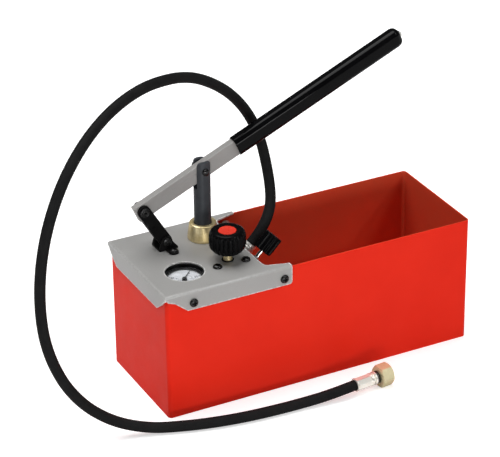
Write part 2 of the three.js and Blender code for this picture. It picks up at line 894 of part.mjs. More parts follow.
// Height of a ball's middle above the edge of the hole that it rests on
const ballSeat = (radius, hole) => Math.sqrt(radius * radius - hole * hole) + seat;

function strainer() {
  const high = footBottom - seatPlugFlangeHeight - 2 * seat;
  const low = high - strainerHeight;
  const cup = turned(
    [
      [0, low],
      [strainerRadius, low],
      [strainerRadius, high],
      [seatPlugRadius + seat, high],
      [seatPlugRadius + seat, high - strainerWall],
      [strainerRadius - strainerWall, high - 2 * strainerWall],
      [strainerRadius - strainerWall, low + strainerWall],
      [0, low + strainerWall],
    ],
    roundSides,
  );
  const middle = (low + high) / 2;
  const slots = Array.from({ length: strainerSlots / 2 }, (_, i) =>
    block(
      -strainerRadius - overrun,
      strainerRadius + overrun,
      -strainerSlotWidth / 2,
      strainerSlotWidth / 2,
      middle - strainerSlotHeight / 2,
      middle + strainerSlotHeight / 2,
    ).rotateZ((2 * Math.PI * i) / strainerSlots),
  );
  return cut(cup, ...slots);
}

function riserPipe() {
  const low = footBottom + deliveryBossLow + deliveryBossHeight - riserInsert;
  return tube(riserBore, riserRadius, low, blockBottom + riserSocket - seat, smallSides);
}

function riserNut() {
  const low = footBottom + deliveryBossLow + deliveryBossHeight + seat;
  return cut(
    hexagon(riserNutFlats, low, low + riserNutHeight),
    disc(riserRadius + runningGap, low - overrun, low + riserNutHeight + overrun, smallSides),
  );
}

// Linkage

// The lever bar runs along X, with the link's bolt straight above the origin
function leverBar() {
  const section = roundedRectangle(leverThickness, leverDepth, leverChamfer);
  const bar = alongX(extruded(section, leverBarLength + leverEnd, 1)).translate(-leverEnd, 0, 0);
  const rise = leverDrop + leverSlotRise;
  const slot = new THREE.Shape();
  slot.absarc(leverArm + leverSlotFront, rise, leverSlotRadius, -Math.PI / 2, Math.PI / 2);
  slot.absarc(leverArm - leverSlotBack, rise, leverSlotRadius, Math.PI / 2, 1.5 * Math.PI);
  slot.closePath();
  const pinHole = disc(pinRadius + runningGap, -leverThickness, leverThickness, smallSides);
  return cut(
    bar,
    acrossY(slot, leverThickness + 2 * overrun),
    pinHole.rotateX(Math.PI / 2).translate(0, 0, leverDrop),
  );
}

// The grip's sleeve, square at its start and rounded at its tip, over the bar's far part
function leverGrip() {
  const section = roundedRectangle(
    gripWidth - 2 * gripTipShrink,
    gripDepth - 2 * gripTipShrink,
    gripCorner - gripTipShrink,
  );
  const sleeve = alongX(
    new THREE.ExtrudeGeometry(section, {
      depth: gripLength,
      curveSegments: cornerSteps,
      bevelThickness: gripTipRound,
      bevelSize: gripTipShrink,
      bevelSegments: cornerSteps,
    }),
  ).translate(gripStart - gripTipRound, 0, 0);
  const tip = gripStart + gripLength;
  return cut(
    sleeve,
    block(gripStart - 2 * gripTipRound, gripStart, -gripWidth, gripWidth, -gripDepth, gripDepth),
    block(
      gripStart - overrun,
      leverBarLength + seat,
      -leverThickness / 2 - seat,
      leverThickness / 2 + seat,
      -leverDepth / 2 - seat,
      leverDepth / 2 + seat,
    ),
    alongX(disc(plugStemRadius + seat, tip - plugStemLength, tip + overrun, smallSides)),
  );
}

function gripEndPlug() {
  const profile = [
    [0, seat - plugStemLength],
    [plugStemRadius, seat - plugStemLength],
    [plugStemRadius, seat],
    [plugRadius, seat],
    ...plugDomeShares.map(([radius, level]) => [plugRadius * radius, plugHeight * level]),
  ];
  return turned(profile, smallSides).rotateY(Math.PI / 2);
}

// One flat link bar, standing up from its lower pivot at the origin
function linkBar() {
  const bar = acrossY(stadium(linkLength, linkWidth / 2), linkThickness);
  const hole = disc(pinRadius + runningGap, -linkThickness, linkThickness, smallSides).rotateX(Math.PI / 2);
  return cut(bar, hole, hole.clone().translate(0, 0, linkLength));
}

// A pin or bolt along Y with its head towards -Y
function headedPin(radius, headRadius, headHeight, headFace, tail) {
  const profile = [
    [0, -tail],
    [radius, -tail],
    [radius, headFace],
    ...pinHeadShares.map(([across, along]) => [headRadius * across, headFace + headHeight * along]),
  ];
  return turned(profile, smallSides).rotateX(Math.PI / 2);
}

const linkNut = () =>
  cut(
    hexagon(linkNutFlats, 0, linkNutHeight),
    disc(pinRadius + seat, -overrun, linkNutHeight - overrun, smallSides),
  ).rotateX(-Math.PI / 2);

const clevisBolt = () =>
  headedPin(
    clevisBoltRadius,
    clevisHeadRadius,
    clevisHeadHeight,
    rodRadius + seat,
    rodRadius + seat + clevisNutHeight / 2,
  ).rotateZ(Math.PI);

function clevisNut() {
  const face = rodRadius + seat;
  const nut = turned(
    [
      [0, face],
      ...pinHeadShares.map(([across, along]) => [clevisNutRadius * across, face + clevisNutHeight * along]),
    ],
    smallSides,
  );
  const socketEnd = face + clevisNutHeight / 2 + seat;
  const socket = disc(clevisBoltRadius + seat, face - overrun, socketEnd, smallSides);
  return cut(nut, socket).rotateX(Math.PI / 2);
}

// The bracket's pivot is at the origin and its base lies below
function linkBracket() {
  const baseBottom = seat - pivotHeight;
  const baseTop = baseBottom + bracketThickness;
  const [left, right] = [bracketOffset - bracketLength / 2, bracketOffset + bracketLength / 2];
  const foot = block(left, right, -earOuter, earOuter, baseBottom, baseTop);
  const tab = extruded(stadium(bracketScrewSpread, bracketTabRadius), bracketThickness);
  tab.translate(bracketTabOffset, -bracketScrewSpread / 2, baseBottom);
  const side = new THREE.Shape();
  side.moveTo(left, baseBottom);
  side.lineTo(right, baseBottom);
  side.lineTo(right, baseTop);
  side.absarc(0, 0, bracketEarRadius, 0, Math.PI);
  side.lineTo(left, baseTop);
  side.closePath();
  const ear = acrossY(side, bracketEarThickness);
  const middle = earInner + bracketEarThickness / 2;
  const holeRadius = bracketScrewRadius + runningGap;
  const screwHole = disc(holeRadius, baseBottom - overrun, baseTop + overrun, smallSides);
  const screwHoles = [1, -1].map((side) =>
    screwHole.clone().translate(bracketTabOffset, (side * bracketScrewSpread) / 2, 0),
  );
  return cut(
    join(foot, tab, ear.clone().translate(0, middle, 0), ear.clone().translate(0, -middle, 0)),
    disc(pinRadius + runningGap, -earOuter - overrun, earOuter + overrun, smallSides).rotateX(Math.PI / 2),
    ...screwHoles,
  );
}

function bracketPin() {
  const tail = earOuter + bracketPinHeadHeight;
  return headedPin(pinRadius, bracketPinHead, bracketPinHeadHeight, earOuter + seat, tail);
}

// Valve block and what is screwed into it

function facePoint(port, out) {
  return port.clone().addScaledVector(faceOut, out);
}

function valveBlock() {
  const slope = (blockRight - blockTopRight) * Math.tan(leanDegrees * degrees);
  const side = outline([
    [blockLeft, blockBottom],
    [blockRight, blockBottom],
    [blockRight, underPlate - slope],
    [blockTopRight, underPlate],
    [blockLeft, underPlate],
  ]);
  const body = acrossY(side, blockBack - blockFront).translate(0, (blockFront + blockBack) / 2, 0);
  const chamber = new THREE.Vector3(valveX, valveY, valveSeatZ + channelRadius);
  const riserTop = new THREE.Vector3(riserX, riserY, blockBottom + riserSocket);
  const riserHole = disc(riserRadius + runningGap, blockBottom - overrun, riserTop.z, smallSides);
  const seatFoot = new THREE.Vector3(valveX, valveY, riserTop.z + channelRadius);
  const outletEnd = facePoint(outletPort, -outletBoreDepth);
  const gaugeEnd = new THREE.Vector3(blockLeft + stemReach, gaugeY, stemZ);
  const screwLow = plateTop - blockScrewLength - overrun;
  const screwHole = disc(blockScrewRadius + runningGap, screwLow, underPlate + overrun, smallSides);
  const screwHoles = blockScrewPlaces().map(([x, y]) => screwHole.clone().translate(x, y, 0));
  return cut(
    body,
    disc(valveBore, valveSeatZ, underPlate + overrun, smallSides).translate(valveX, valveY, 0),
    disc(channelRadius, seatFoot.z, valveSeatZ + overrun, smallSides).translate(valveX, valveY, 0),
    riserHole.translate(riserX, riserY, 0),
    drill(riserTop, seatFoot, channelRadius),
    drill(facePoint(outletPort, overrun), outletEnd, outletBore),
    drill(outletEnd, chamber, channelRadius),
    drill(facePoint(bleedPort, overrun), facePoint(bleedPort, -bleedBoreDepth), bleedBore),
    drill(facePoint(bleedPort, -bleedBoreDepth), chamber, bleedNeedleRadius + seat),
    drill(new THREE.Vector3(blockLeft - overrun, gaugeY, stemZ), gaugeEnd, stemRadius + seat),
    drill(gaugeEnd, chamber, channelRadius),
    ...screwHoles,
  );
}

function valveBonnet() {
  const top = plateTop + bonnetAbove;
  const groove = spindleRadius + runningGap + ringWidth + seat;
  return turnedRing(
    [
      [spindleRadius + runningGap, underPlate - bonnetInside],
      [bonnetRadius, underPlate - bonnetInside],
      [bonnetRadius, top],
      [groove, top],
      [groove, top - ringDepth - seat],
      [spindleRadius + runningGap, top - ringDepth - seat],
    ],
    roundSides,
  );
}

function valveRing() {
  const top = plateTop + bonnetAbove;
  const inner = spindleRadius + runningGap;
  return tube(inner, inner + ringWidth, top - ringDepth, top, smallSides);
}

function valveSpindle() {
  return turned(
    [
      [0, valveSeatZ - needleLength + seat],
      [needleTipRadius, valveSeatZ - needleLength + seat],
      [channelRadius - seat, valveSeatZ],
      [spindleRadius, valveSeatZ + seat],
      [spindleRadius, plateTop + spindleAbove],
      [0, plateTop + spindleAbove],
    ],
    smallSides,
  );
}

// The shut-off knob stands on z = 0, bored from below for the spindle and recessed for its cap
function valveKnob() {
  const body = flutedKnob(
    knobRadius,
    knobHeight,
    knobFlutes,
    knobFluteDepth,
    knobLevelShares,
    knobRadiusShares,
    knobFluteShares,
  );
  const capFloor = knobHeight - capRecess;
  return cut(
    body,
    disc(capRadius + seat, capFloor, knobHeight + overrun),
    disc(capStemRadius + seat, capFloor - capStemLength - seat, capFloor + overrun, smallSides),
    disc(spindleRadius + runningGap, -overrun, spindleAbove - knobLift + seat, smallSides),
  );
}

function knobCap() {
  const low = knobHeight - capRecess + seat;
  return turned(
    [
      [0, low - capStemLength],
      [capStemRadius, low - capStemLength],
      [capStemRadius, low],
      [capRadius, low],
      [capRadius, low + capThickness - capChamfer],
      [capRadius - capChamfer, low + capThickness],
      [0, low + capThickness],
    ],
    roundSides,
  );
}

// The bleed valve and the outlet fitting lie along Z from the block's leaning face

function bleedBonnet() {
  const inner = bleedSpindleRadius + runningGap;
  const body = join(
    disc(bleedNeckRadius, -bleedThread, bleedNeck, smallSides),
    hexagon(bleedHexFlats, seat, seat + bleedHexHeight),
  );
  return cut(body, disc(inner, -bleedThread - overrun, bleedNeck + overrun, smallSides));
}

function bleedSpindle() {
  return turned(
    [
      [0, -bleedSpindleTip],
      [bleedNeedleRadius, -bleedSpindleTip],
      [bleedSpindleRadius, bleedSpindleRadius - bleedSpindleTip],
      [bleedSpindleRadius, bleedSpindleOut],
      [0, bleedSpindleOut],
    ],
    smallSides,
  );
}

function bleedKnob() {
  const body = flutedKnob(
    bleedKnobRadius,
    bleedKnobLength,
    bleedKnobFlutes,
    bleedKnobFluteDepth,
    bleedLevelShares,
    bleedRadiusShares,
    bleedFluteShares,
  );
  const depth = bleedSpindleOut - bleedKnobStart + seat;
  return cut(body, disc(bleedSpindleRadius + runningGap, -overrun, depth, smallSides));
}

function hoseNipple() {
  const body = join(
    disc(outletBore - seat, -nippleThread, seat, smallSides),
    hexagon(nippleHexFlats, seat, nippleHexHeight),
    disc(nippleTailRadius, seat, ferruleEnd - seat, smallSides),
  );
  return cut(body, disc(nippleBore, -nippleThread - overrun, ferruleEnd + overrun, smallSides));
}

function hoseFerrule() {
  const middle = (ferruleStart + ferruleEnd) / 2;
  const bore = nippleTailRadius + seat;
  return turnedRing(
    [
      [bore, ferruleStart],
      [ferruleRadius, ferruleStart],
      [ferruleRadius, middle - ferruleGroove],
      [ferruleRadius - ferruleGroove, middle],
      [ferruleRadius, middle + ferruleGroove],
      [ferruleRadius, ferruleEnd],
      [bore, ferruleEnd],
    ],
    roundSides,
  );
}

// Gauge, turned about its own axis, in heights above the tank's underside

function gaugeCase() {
  const floor = gaugeBottom + gaugeFloor;
  const dialLedge = dialTop - dialThickness - seat;
  const glassLedge = glassTop - glassThickness - seat;
  const chamfer = gaugeFloor / 2;
  const cup = turned(
    [
      [0, gaugeBottom],
      [gaugeRadius - chamfer, gaugeBottom],
      [gaugeRadius, gaugeBottom + chamfer],
      [gaugeRadius, gaugeRim],
      [glassRadius + seat, gaugeRim],
      [glassRadius + seat, glassLedge],
      [dialRadius + seat, glassLedge],
      [dialRadius + seat, dialLedge],
      [gaugeInner, dialLedge],
      [gaugeInner, floor],
      [0, floor],
    ],
    roundSides,
  );
  const port = alongX(disc(stemRadius + seat, 0, gaugeRadius + overrun, smallSides)).translate(0, 0, stemZ);
  return cut(cup, port);
}

const gaugeBezel = () => tube(bezelInner, gaugeRadius, gaugeRim + seat, underPlate);

function gaugeDial() {
  return tube(pointerShaftRadius + runningGap, dialRadius, dialTop - dialThickness, dialTop);
}

const gaugeGlass = () => disc(glassRadius, glassTop - glassThickness, glassTop);

// The pointer aims along +X before it is turned to zero
function gaugePointer() {
  const low = dialTop + seat;
  const high = low + pointerHubHeight;
  const needle = extruded(
    outline([
      [-pointerTail, -pointerWidth],
      [-pointerTail, pointerWidth],
      [0, pointerWidth / 2],
      [pointerLength, pointerTipWidth / 2],
      [pointerLength, -pointerTipWidth / 2],
      [0, -pointerWidth / 2],
    ]),
    pointerThickness,
  ).translate(0, 0, low + pointerThickness);
  return join(
    needle,
    disc(pointerHub, low, high, smallSides),
    disc(pointerShaftRadius, low - pointerShaftDrop, low + seat, smallSides),
  );
}

// The gauge's stem runs along X from inside the case into the block, with a hexagon between
function gaugeStem() {
  const caseSide = gaugeX + gaugeRadius;
  const inside = gaugeX + gaugeInner + seat;
  const shank = disc(stemRadius, 0, blockLeft + stemReach - seat - inside, smallSides);
  const collar = hexagon(stemHexFlats, caseSide + seat - inside, blockLeft - seat - inside);
  const bore = disc(stemBore, -overrun, blockLeft + stemReach - inside + overrun, smallSides);
  return alongX(cut(join(shank, collar), bore)).translate(inside, gaugeY, stemZ);
}

function bourdonTubePiece() {
  const points = Array.from({ length: bourdonSteps + 1 }, (_, i) => {
    const angle = (bourdonTurnDegrees * degrees * i) / bourdonSteps;
    return new THREE.Vector3(bourdonRadius * Math.cos(angle), bourdonRadius * Math.sin(angle), 0);
  });
  const start = new THREE.Vector3(gaugeInner - seat, 0, 0);
  const bend = new THREE.Vector3(gaugeInner - bourdonTube, 0, 0);
  const path = new THREE.CatmullRomCurve3([start, bend, ...points.slice(2)]);
  return tubeAlong(path, bourdonTube, tubeSides, bourdonSteps);
}

function tubeAlong(path, radius, sides, steps) {
  const section = new THREE.Shape();
  for (let i = 0; i < sides; i += 1) {
    const angle = (2 * Math.PI * i) / sides;
    const [x, y] = [radius * Math.cos(angle), radius * Math.sin(angle)];
    if (i === 0) section.moveTo(x, y);
    else section.lineTo(x, y);
  }
  return new THREE.ExtrudeGeometry(section, { steps, bevelEnabled: false, extrudePath: path });
}

// Hose and far end

function hose() {
  const points = hoseRoute.map((p) => new THREE.Vector3(...p));
  const shift = hoseStart.clone().sub(points[0]);
  points.forEach((point, i) => {
    const left = (hoseFloorPoint - i) / (hoseFloorPoint - hoseTopPoint);
    point.addScaledVector(shift, THREE.MathUtils.clamp(left, 0, 1));
  });
  return tubeAlong(new THREE.CatmullRomCurve3(points), hoseRadius, hoseSides, hoseSteps);
}

// The far ferrule, its neck and the flange that the union nut pulls on, from the hose's end
function farFerrule() {
  const crimps = farCrimpShares.map((share, i) => [
    i % 2 ? farCrimpRadius : farFerruleRadius,
    farFerruleLength * share,
  ]);
  const groove = farFerruleLength * farGrooveShare;
  const flange = unionStart + unionBack + seat;
  return turnedRing(
    [
      [farBore, seat],
      [farFerruleRadius, seat],
      ...crimps,
      [farFerruleRadius, groove - 2 * farGrooveWidth],
      [farFerruleRadius, groove - farGrooveWidth],
      [farGrooveRadius, groove - farGrooveWidth],
      [farGrooveRadius, groove],
      [farFerruleRadius, groove],
      [farFerruleRadius, farFerruleLength],
      [farNeckRadius, farFerruleLength],
      [farNeckRadius, flange],
      [farFlangeRadius, flange],
      [farFlangeRadius, flange + farFlangeHeight],
      [farBore, flange + farFlangeHeight],
    ],
    farSides,
  );
}

function unionWasher() {
  const low = unionStart + unionBack + farFlangeHeight + 2 * seat;
  return tube(washerInner, farFlangeRadius, low, low + washerHeight, roundSides);
}

function unionNut() {
  const low = unionStart;
  const high = unionStart + unionLength;
  const corner = unionFlats / Math.sqrt(3);
  const chamfered = turned(
    [
      [0, low],
      [corner - unionChamfer, low],
      [corner, low + unionChamfer],
      [corner, high - unionChamfer],
      [corner - unionChamfer, high],
      [0, high],
    ],
    roundSides,
  );
  return cut(
    common(hexagon(unionFlats, low, high), chamfered),
    disc(farNeckRadius + runningGap, low - overrun, high, smallSides),
    disc(unionBore, low + unionBack, high + overrun, roundSides),
  );
}

// Assembly

const pump = new THREE.Group();

function add(group, name, geometry, material, position = [0, 0, 0], rotation = [0, 0, 0]) {
  geometry.computeVertexNormals();
  const mesh = new THREE.Mesh(geometry, material);
  mesh.name = name;
  mesh.position.set(...position);
  mesh.rotation.set(...rotation);
  group.add(mesh);
  return mesh;
}

function groupAt(position, rotation = [0, 0, 0]) {
  const group = new THREE.Group();
  group.position.set(...position);
  group.rotation.set(...rotation);
  pump.add(group);
  return group;
}

function addTank() {
  add(pump, "tank", tank(), redPaint);
  add(pump, "cover_plate", coverPlate(), greyPaint);
  const sides = { front: -1, back: 1 };
  for (const [side, sign] of Object.entries(sides)) {
    flangeScrewXs.forEach((x, i) => {
      const end = i === 0 ? "left" : "right";
      const out = [-sign * (Math.PI / 2), 0, 0];
      const head = [x, sign * (flangeHalf + seat), flangeScrewZ];
      const screw = panScrew(flangeScrewHead, flangeScrewRadius, flangeScrewLength);
      add(pump, `flange_screw_${side}_${end}`, screw, blackSteel, head, out);
      const nutFace = tankWidth / 2 - tankWall - seat;
      const nutAt = [x, sign * nutFace, flangeScrewZ];
      add(pump, `flange_nut_${side}_${end}`, flangeNut(), zinc, nutAt, [sign * (Math.PI / 2), 0, 0]);
    });
  }
}

function addPump() {
  const axis = groupAt([pumpX, pumpY, 0]);
  add(axis, "pump_barrel", pumpBarrel(), zinc);
  add(axis, "gland_packing", glandPacking(), packingFibre);
  add(axis, "gland_nut", glandNut(), brass);
  add(axis, "plunger_rod", plungerRod(), rodSteel, [0, 0, clevisZ]);
  add(axis, "plunger_seal", plungerSeal(), rubber, [0, 0, clevisZ]);
  add(axis, "clevis_bolt", clevisBolt(), blackSteel, [0, 0, clevisZ]);
  add(axis, "clevis_nut", clevisNut(), blackSteel, [0, 0, clevisZ]);
  add(axis, "pump_foot", pumpFoot(), brass);
  add(axis, "suction_seat", suctionSeat(), brass);
  const suctionZ = footBottom + seatPlugAbove + ballSeat(suctionBallRadius, seatPlugBore);
  add(axis, "suction_ball", ball(suctionBallRadius), chrome, [0, 0, suctionZ]);
  add(axis, "strainer", strainer(), zinc);
  const riser = groupAt([riserX, riserY, 0]);
  const deliveryZ = footBottom + deliverySeatHeight + ballSeat(deliveryBallRadius, deliverySeatBore);
  add(riser, "delivery_ball", ball(deliveryBallRadius), chrome, [0, 0, deliveryZ]);
  add(riser, "riser_pipe", riserPipe(), zinc);
  add(riser, "riser_nut", riserNut(), brass);
}

function addLinkage() {
  const pivot = groupAt([pivotX, pumpY, pivotZ]);
  add(pivot, "link_bracket", linkBracket(), blackSteel);
  add(pivot, "bracket_pin", bracketPin(), blackSteel);
  const names = ["bracket_screw_front", "bracket_screw_back"];
  bracketScrewPlaces().forEach(([x, y], i) => {
    const screw = panScrew(bracketScrewHead, bracketScrewRadius, bracketScrewLength);
    const z = plateTop + bracketThickness + 2 * seat;
    add(pump, names[i], screw, blackSteel, [x, y, z]);
  });
  const link = groupAt([pivotX, pumpY, pivotZ], [0, -linkLeanDegrees * degrees, 0]);
  const offset = linkInner + linkThickness / 2;
  add(link, "link_bar_front", linkBar(), blackSteel, [0, -offset, 0]);
  add(link, "link_bar_back", linkBar(), blackSteel, [0, offset, 0]);
  const boltTail = linkOuter + seat + linkNutHeight - 2 * overrun;
  const bolt = headedPin(pinRadius, linkBoltHead, linkBoltHeadHeight, linkOuter + seat, boltTail);
  add(link, "link_bolt", bolt, blackSteel, [0, 0, linkLength]);
  add(link, "link_nut", linkNut(), blackSteel, [0, linkOuter + seat, linkLength]);
  const lever = groupAt([leverX, pumpY, leverZ], [0, -leverRiseDegrees * degrees, 0]);
  add(lever, "lever_bar", leverBar(), leverPaint, [0, 0, -leverDrop]);
  add(lever, "lever_grip", leverGrip(), blackPlastic, [0, 0, -leverDrop]);
  add(lever, "grip_end_plug", gripEndPlug(), zinc, [gripStart + gripLength, 0, -leverDrop]);
}

function addValves() {
  add(pump, "valve_block", valveBlock(), zinc);
  const names = ["block_screw_left", "block_screw_right"];
  blockScrewPlaces().forEach(([x, y], i) => {
    const screw = panScrew(blockScrewHead, blockScrewRadius, blockScrewLength);
    add(pump, names[i], screw, blackSteel, [x, y, plateTop + seat]);
  });
  const valve = groupAt([valveX, valveY, 0]);
  add(valve, "valve_bonnet", valveBonnet(), brass);
  add(valve, "valve_ring", valveRing(), rubber);
  add(valve, "valve_spindle", valveSpindle(), zinc);
  add(valve, "valve_knob", valveKnob(), blackPlastic, [0, 0, plateTop + knobLift]);
  add(valve, "valve_knob_cap", knobCap(), redPlastic, [0, 0, plateTop + knobLift]);
  const lean = [0, leanDegrees * degrees, 0];
  const bleed = groupAt(bleedPort.toArray(), lean);
  add(bleed, "bleed_bonnet", bleedBonnet(), chrome);
  add(bleed, "bleed_spindle", bleedSpindle(), chrome);
  add(bleed, "bleed_knob", bleedKnob(), blackPlastic, [0, 0, bleedKnobStart]);
  const outlet = groupAt(outletPort.toArray(), lean);
  add(outlet, "hose_nipple", hoseNipple(), zinc);
  add(outlet, "hose_ferrule", hoseFerrule(), zinc);
}

function addGauge() {
  const gauge = groupAt([gaugeX, gaugeY, 0]);
  add(gauge, "gauge_case", gaugeCase(), blackPlastic);
  add(gauge, "gauge_bezel", gaugeBezel(), blackPlastic);
  add(gauge, "gauge_dial", gaugeDial(), whiteDial);
  add(gauge, "gauge_glass", gaugeGlass(), clearGlass);
  add(gauge, "gauge_pointer", gaugePointer(), blackPlastic, [0, 0, 0], [0, 0, pointerRestDegrees * degrees]);
  add(gauge, "bourdon_tube", bourdonTubePiece(), brass, [0, 0, stemZ]);
  add(pump, "gauge_stem", gaugeStem(), brass);
}

function addHose() {
  add(pump, "hose", hose(), rubber);
  const end = new THREE.Group();
  end.rotation.set(0, Math.PI / 2, 0);
  groupAt(hoseRoute.at(-1), [0, 0, farTurnDegrees * degrees]).add(end);
  add(end, "far_ferrule", farFerrule(), zinc);
  add(end, "union_washer", unionWasher(), rubber);
  add(end, "union_nut", unionNut(), zinc);
}

addTank();
addPump();
addLinkage();
addValves();
addGauge();
addHose();

export default pump;
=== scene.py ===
# %% [markdown]
# # A hydrostatic test pump, dressed for its picture
# A plumber fills the tank, screws the hose to a pipe, works the lever and reads the gauge.
# The construction already exists as a fixed frame of solids, so this lesson only makes surfaces:
# softer edges, rounder turnings, a real hose, and a finish for each material.
# Every piece keeps the place that the frame gives it and moves with the frame's own bodies.

# %% Load the frame
import json
import math

import bmesh
import bpy
from mathutils import Matrix, Vector


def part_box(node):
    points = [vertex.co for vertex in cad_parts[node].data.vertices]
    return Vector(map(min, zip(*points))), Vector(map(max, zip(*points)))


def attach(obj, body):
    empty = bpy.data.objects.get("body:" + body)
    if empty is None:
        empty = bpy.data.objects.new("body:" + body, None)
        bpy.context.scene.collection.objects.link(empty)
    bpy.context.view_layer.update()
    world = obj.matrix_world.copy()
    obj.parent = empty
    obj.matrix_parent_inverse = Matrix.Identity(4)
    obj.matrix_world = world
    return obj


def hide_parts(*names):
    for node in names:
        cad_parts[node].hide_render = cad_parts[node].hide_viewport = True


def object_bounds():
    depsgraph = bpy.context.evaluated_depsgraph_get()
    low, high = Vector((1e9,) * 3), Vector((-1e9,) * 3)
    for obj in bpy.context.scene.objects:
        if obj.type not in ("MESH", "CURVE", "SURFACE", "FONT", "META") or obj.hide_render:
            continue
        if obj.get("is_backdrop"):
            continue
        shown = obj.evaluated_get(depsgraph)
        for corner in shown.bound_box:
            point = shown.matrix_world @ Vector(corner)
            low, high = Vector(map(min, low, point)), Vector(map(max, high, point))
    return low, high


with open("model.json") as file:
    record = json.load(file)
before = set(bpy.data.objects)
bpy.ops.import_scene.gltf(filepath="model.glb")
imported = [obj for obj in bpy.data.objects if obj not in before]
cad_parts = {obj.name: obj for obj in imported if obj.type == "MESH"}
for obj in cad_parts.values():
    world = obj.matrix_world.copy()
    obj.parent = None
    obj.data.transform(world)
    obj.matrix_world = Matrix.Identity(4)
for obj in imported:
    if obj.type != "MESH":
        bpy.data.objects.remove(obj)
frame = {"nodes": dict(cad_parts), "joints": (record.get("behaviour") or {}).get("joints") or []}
cad_low, cad_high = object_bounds()
joints = {joint["name"]: joint for joint in frame["joints"]}


def in_mm(lengths):
    return [round(1000 * x, 1) for x in lengths]


print("frame box, mm:", in_mm((*cad_low, *cad_high)))

# %% [markdown]
# ## The camera
# The photograph was taken from the front left and from above, with a long lens, so lines hardly converge.
# A camera can be aimed with a constraint, but a few named values say the same and are easy to change:
# the point it looks at, how far round, how high, and how far away it stands.
# The hand-held picture leans by half a degree, so the camera rolls by that much too.

# %% Aim the camera
target = Vector((-0.0598, 0, 0.19299))
azimuth = math.radians(-27.021)
elevation = math.radians(27.84)
roll = math.radians(-0.6247)
distance = 3.01673
lens = 170.37
sensor_width = 36


def add_object(name, data):
    made = bpy.data.objects.new(name, data)
    bpy.context.scene.collection.objects.link(made)
    return made


camera_data = bpy.data.cameras.new("camera")
camera_data.lens = lens
camera_data.sensor_width = sensor_width
camera = add_object("camera", camera_data)
turn = (
    Matrix.Rotation(azimuth, 4, "Z")
    @ Matrix.Rotation(math.pi / 2 - elevation, 4, "X")
    @ Matrix.Rotation(roll, 4, "Z")
)
camera.matrix_world = Matrix.Translation(target) @ turn @ Matrix.Translation((0, 0, distance))
bpy.context.scene.camera = camera
print("camera stands at, mm:", in_mm(camera.matrix_world.translation))

# %% [markdown]
# ## Helpers for making pieces
# A finished piece needs a mesh, a finish, a body to ride on and, mostly, a frame node that it stands for.
# One function does that for all of them, so each later cell can think about shape alone.
# Smooth shading is split at sharp corners by angle, which keeps edges crisp and round things round.
# A face of several square centimetres is part of a flat sheet, so it keeps flat shading.

# %% Turn a bmesh into a piece
smooth_angle = math.radians(32)
largest_smooth_face = 0.0006
finishes = {}


def mesh_object(name, bm):
    mesh = bpy.data.meshes.new(name)
    bm.to_mesh(mesh)
    bm.free()
    return add_object(name, mesh)


def finished(bm, name, finish, body, stands_for=(), place=None, outward=True):
    if place is not None:
        bmesh.ops.transform(bm, matrix=place, verts=bm.verts)
    if outward:
        bmesh.ops.recalc_face_normals(bm, faces=bm.faces)
    piece = mesh_object(name, bm)
    piece.data.set_sharp_from_angle(angle=smooth_angle)
    for face in piece.data.polygons:
        face.use_smooth = face.area < largest_smooth_face
    piece.data.materials.append(finishes[finish])
    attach(piece, body)
    if stands_for:
        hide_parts(*stands_for)
    print(f"{name}: {len(piece.data.polygons)} faces in {finish}")
    return piece


# %% [markdown]
# Most round pieces are turnings. Each one has an axis, and its place along that axis is read off the frame,
# so nothing is typed twice: if the frame changes, the turning follows.

# %% Measure a node along an axis
along_y = Vector((0, 1, 0))
up_z = Vector((0, 0, 1))


def axis_place(origin, axis):
    turned = Vector(axis).normalized().to_track_quat("Z", "Y").to_matrix().to_4x4()
    return Matrix.Translation(origin) @ turned


def local_points(node, place):
    back = place.inverted()
    return [back @ v.co for v in frame["nodes"][node].data.vertices]


def span(node, place):
    """Lowest and highest point of a node along a place's Z, and its largest radius round it."""
    local = local_points(node, place)
    heights = [p.z for p in local]
    return min(heights), max(heights), max(math.hypot(p.x, p.y) for p in local)


def middle(node):
    low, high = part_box(node)
    return (low + high) / 2


def on_axis(node, axis):
    """The place of a node with this axis as its Z, and the node's span there."""
    place = axis_place(middle(node), axis)
    return place, *span(node, place)


print("gland nut, mm:", in_mm(on_axis("gland_nut", up_z)[1:]))

# %% [markdown]
# A lathe makes these from a profile of radius and height. Blender's spin operator does the same:
# the profile's points are joined by edges, spun a full turn, and the seam is merged.
# Points on the axis give a closed pole; a profile that ends where it starts gives a ring.

# %% Spin a profile


def spun(profile, steps=64, ring=False):
    bm = bmesh.new()
    points = [bm.verts.new((radius, 0, height)) for radius, height in profile]
    pairs = list(zip(points, points[1:])) + ([(points[-1], points[0])] if ring else [])
    edges = [bm.edges.new(pair) for pair in pairs]
    bmesh.ops.spin(
        bm,
        geom=points + edges,
        cent=(0, 0, 0),
        axis=(0, 0, 1),
        dvec=(0, 0, 0),
        angle=2 * math.pi,
        steps=steps,
        use_merge=True,
        use_duplicate=False,
    )
    bmesh.ops.remove_doubles(bm, verts=bm.verts, dist=1e-7)
    return bm


# %% [markdown]
# No turned corner is knife sharp. Each corner of a profile is cut back on both sides and replaced by a short
# curve, but never by more than half of a side, and points on a straight line stay as they are.

# %% Round a profile's corners
longest_cut = 0.45
least_cut = 1e-6
nearly_straight = 0.05


def rounded(profile, radius, bends=3, ring=False):
    points = [Vector(p) for p in profile]
    made = []
    for i, corner in enumerate(points):
        is_end = not ring and i in (0, len(points) - 1)
        back, on = points[i - 1] - corner, points[(i + 1) % len(points)] - corner
        reach = min(radius, back.length * longest_cut, on.length * longest_cut)
        if is_end or reach < least_cut or abs(back.angle(on) - math.pi) < nearly_straight:
            made.append(tuple(corner))
            continue
        start, end = corner + back.normalized() * reach, corner + on.normalized() * reach
        for k in range(bends + 1):
            t = k / bends
            made.append(tuple((1 - t) ** 2 * start + 2 * t * (1 - t) * corner + t * t * end))
    return made


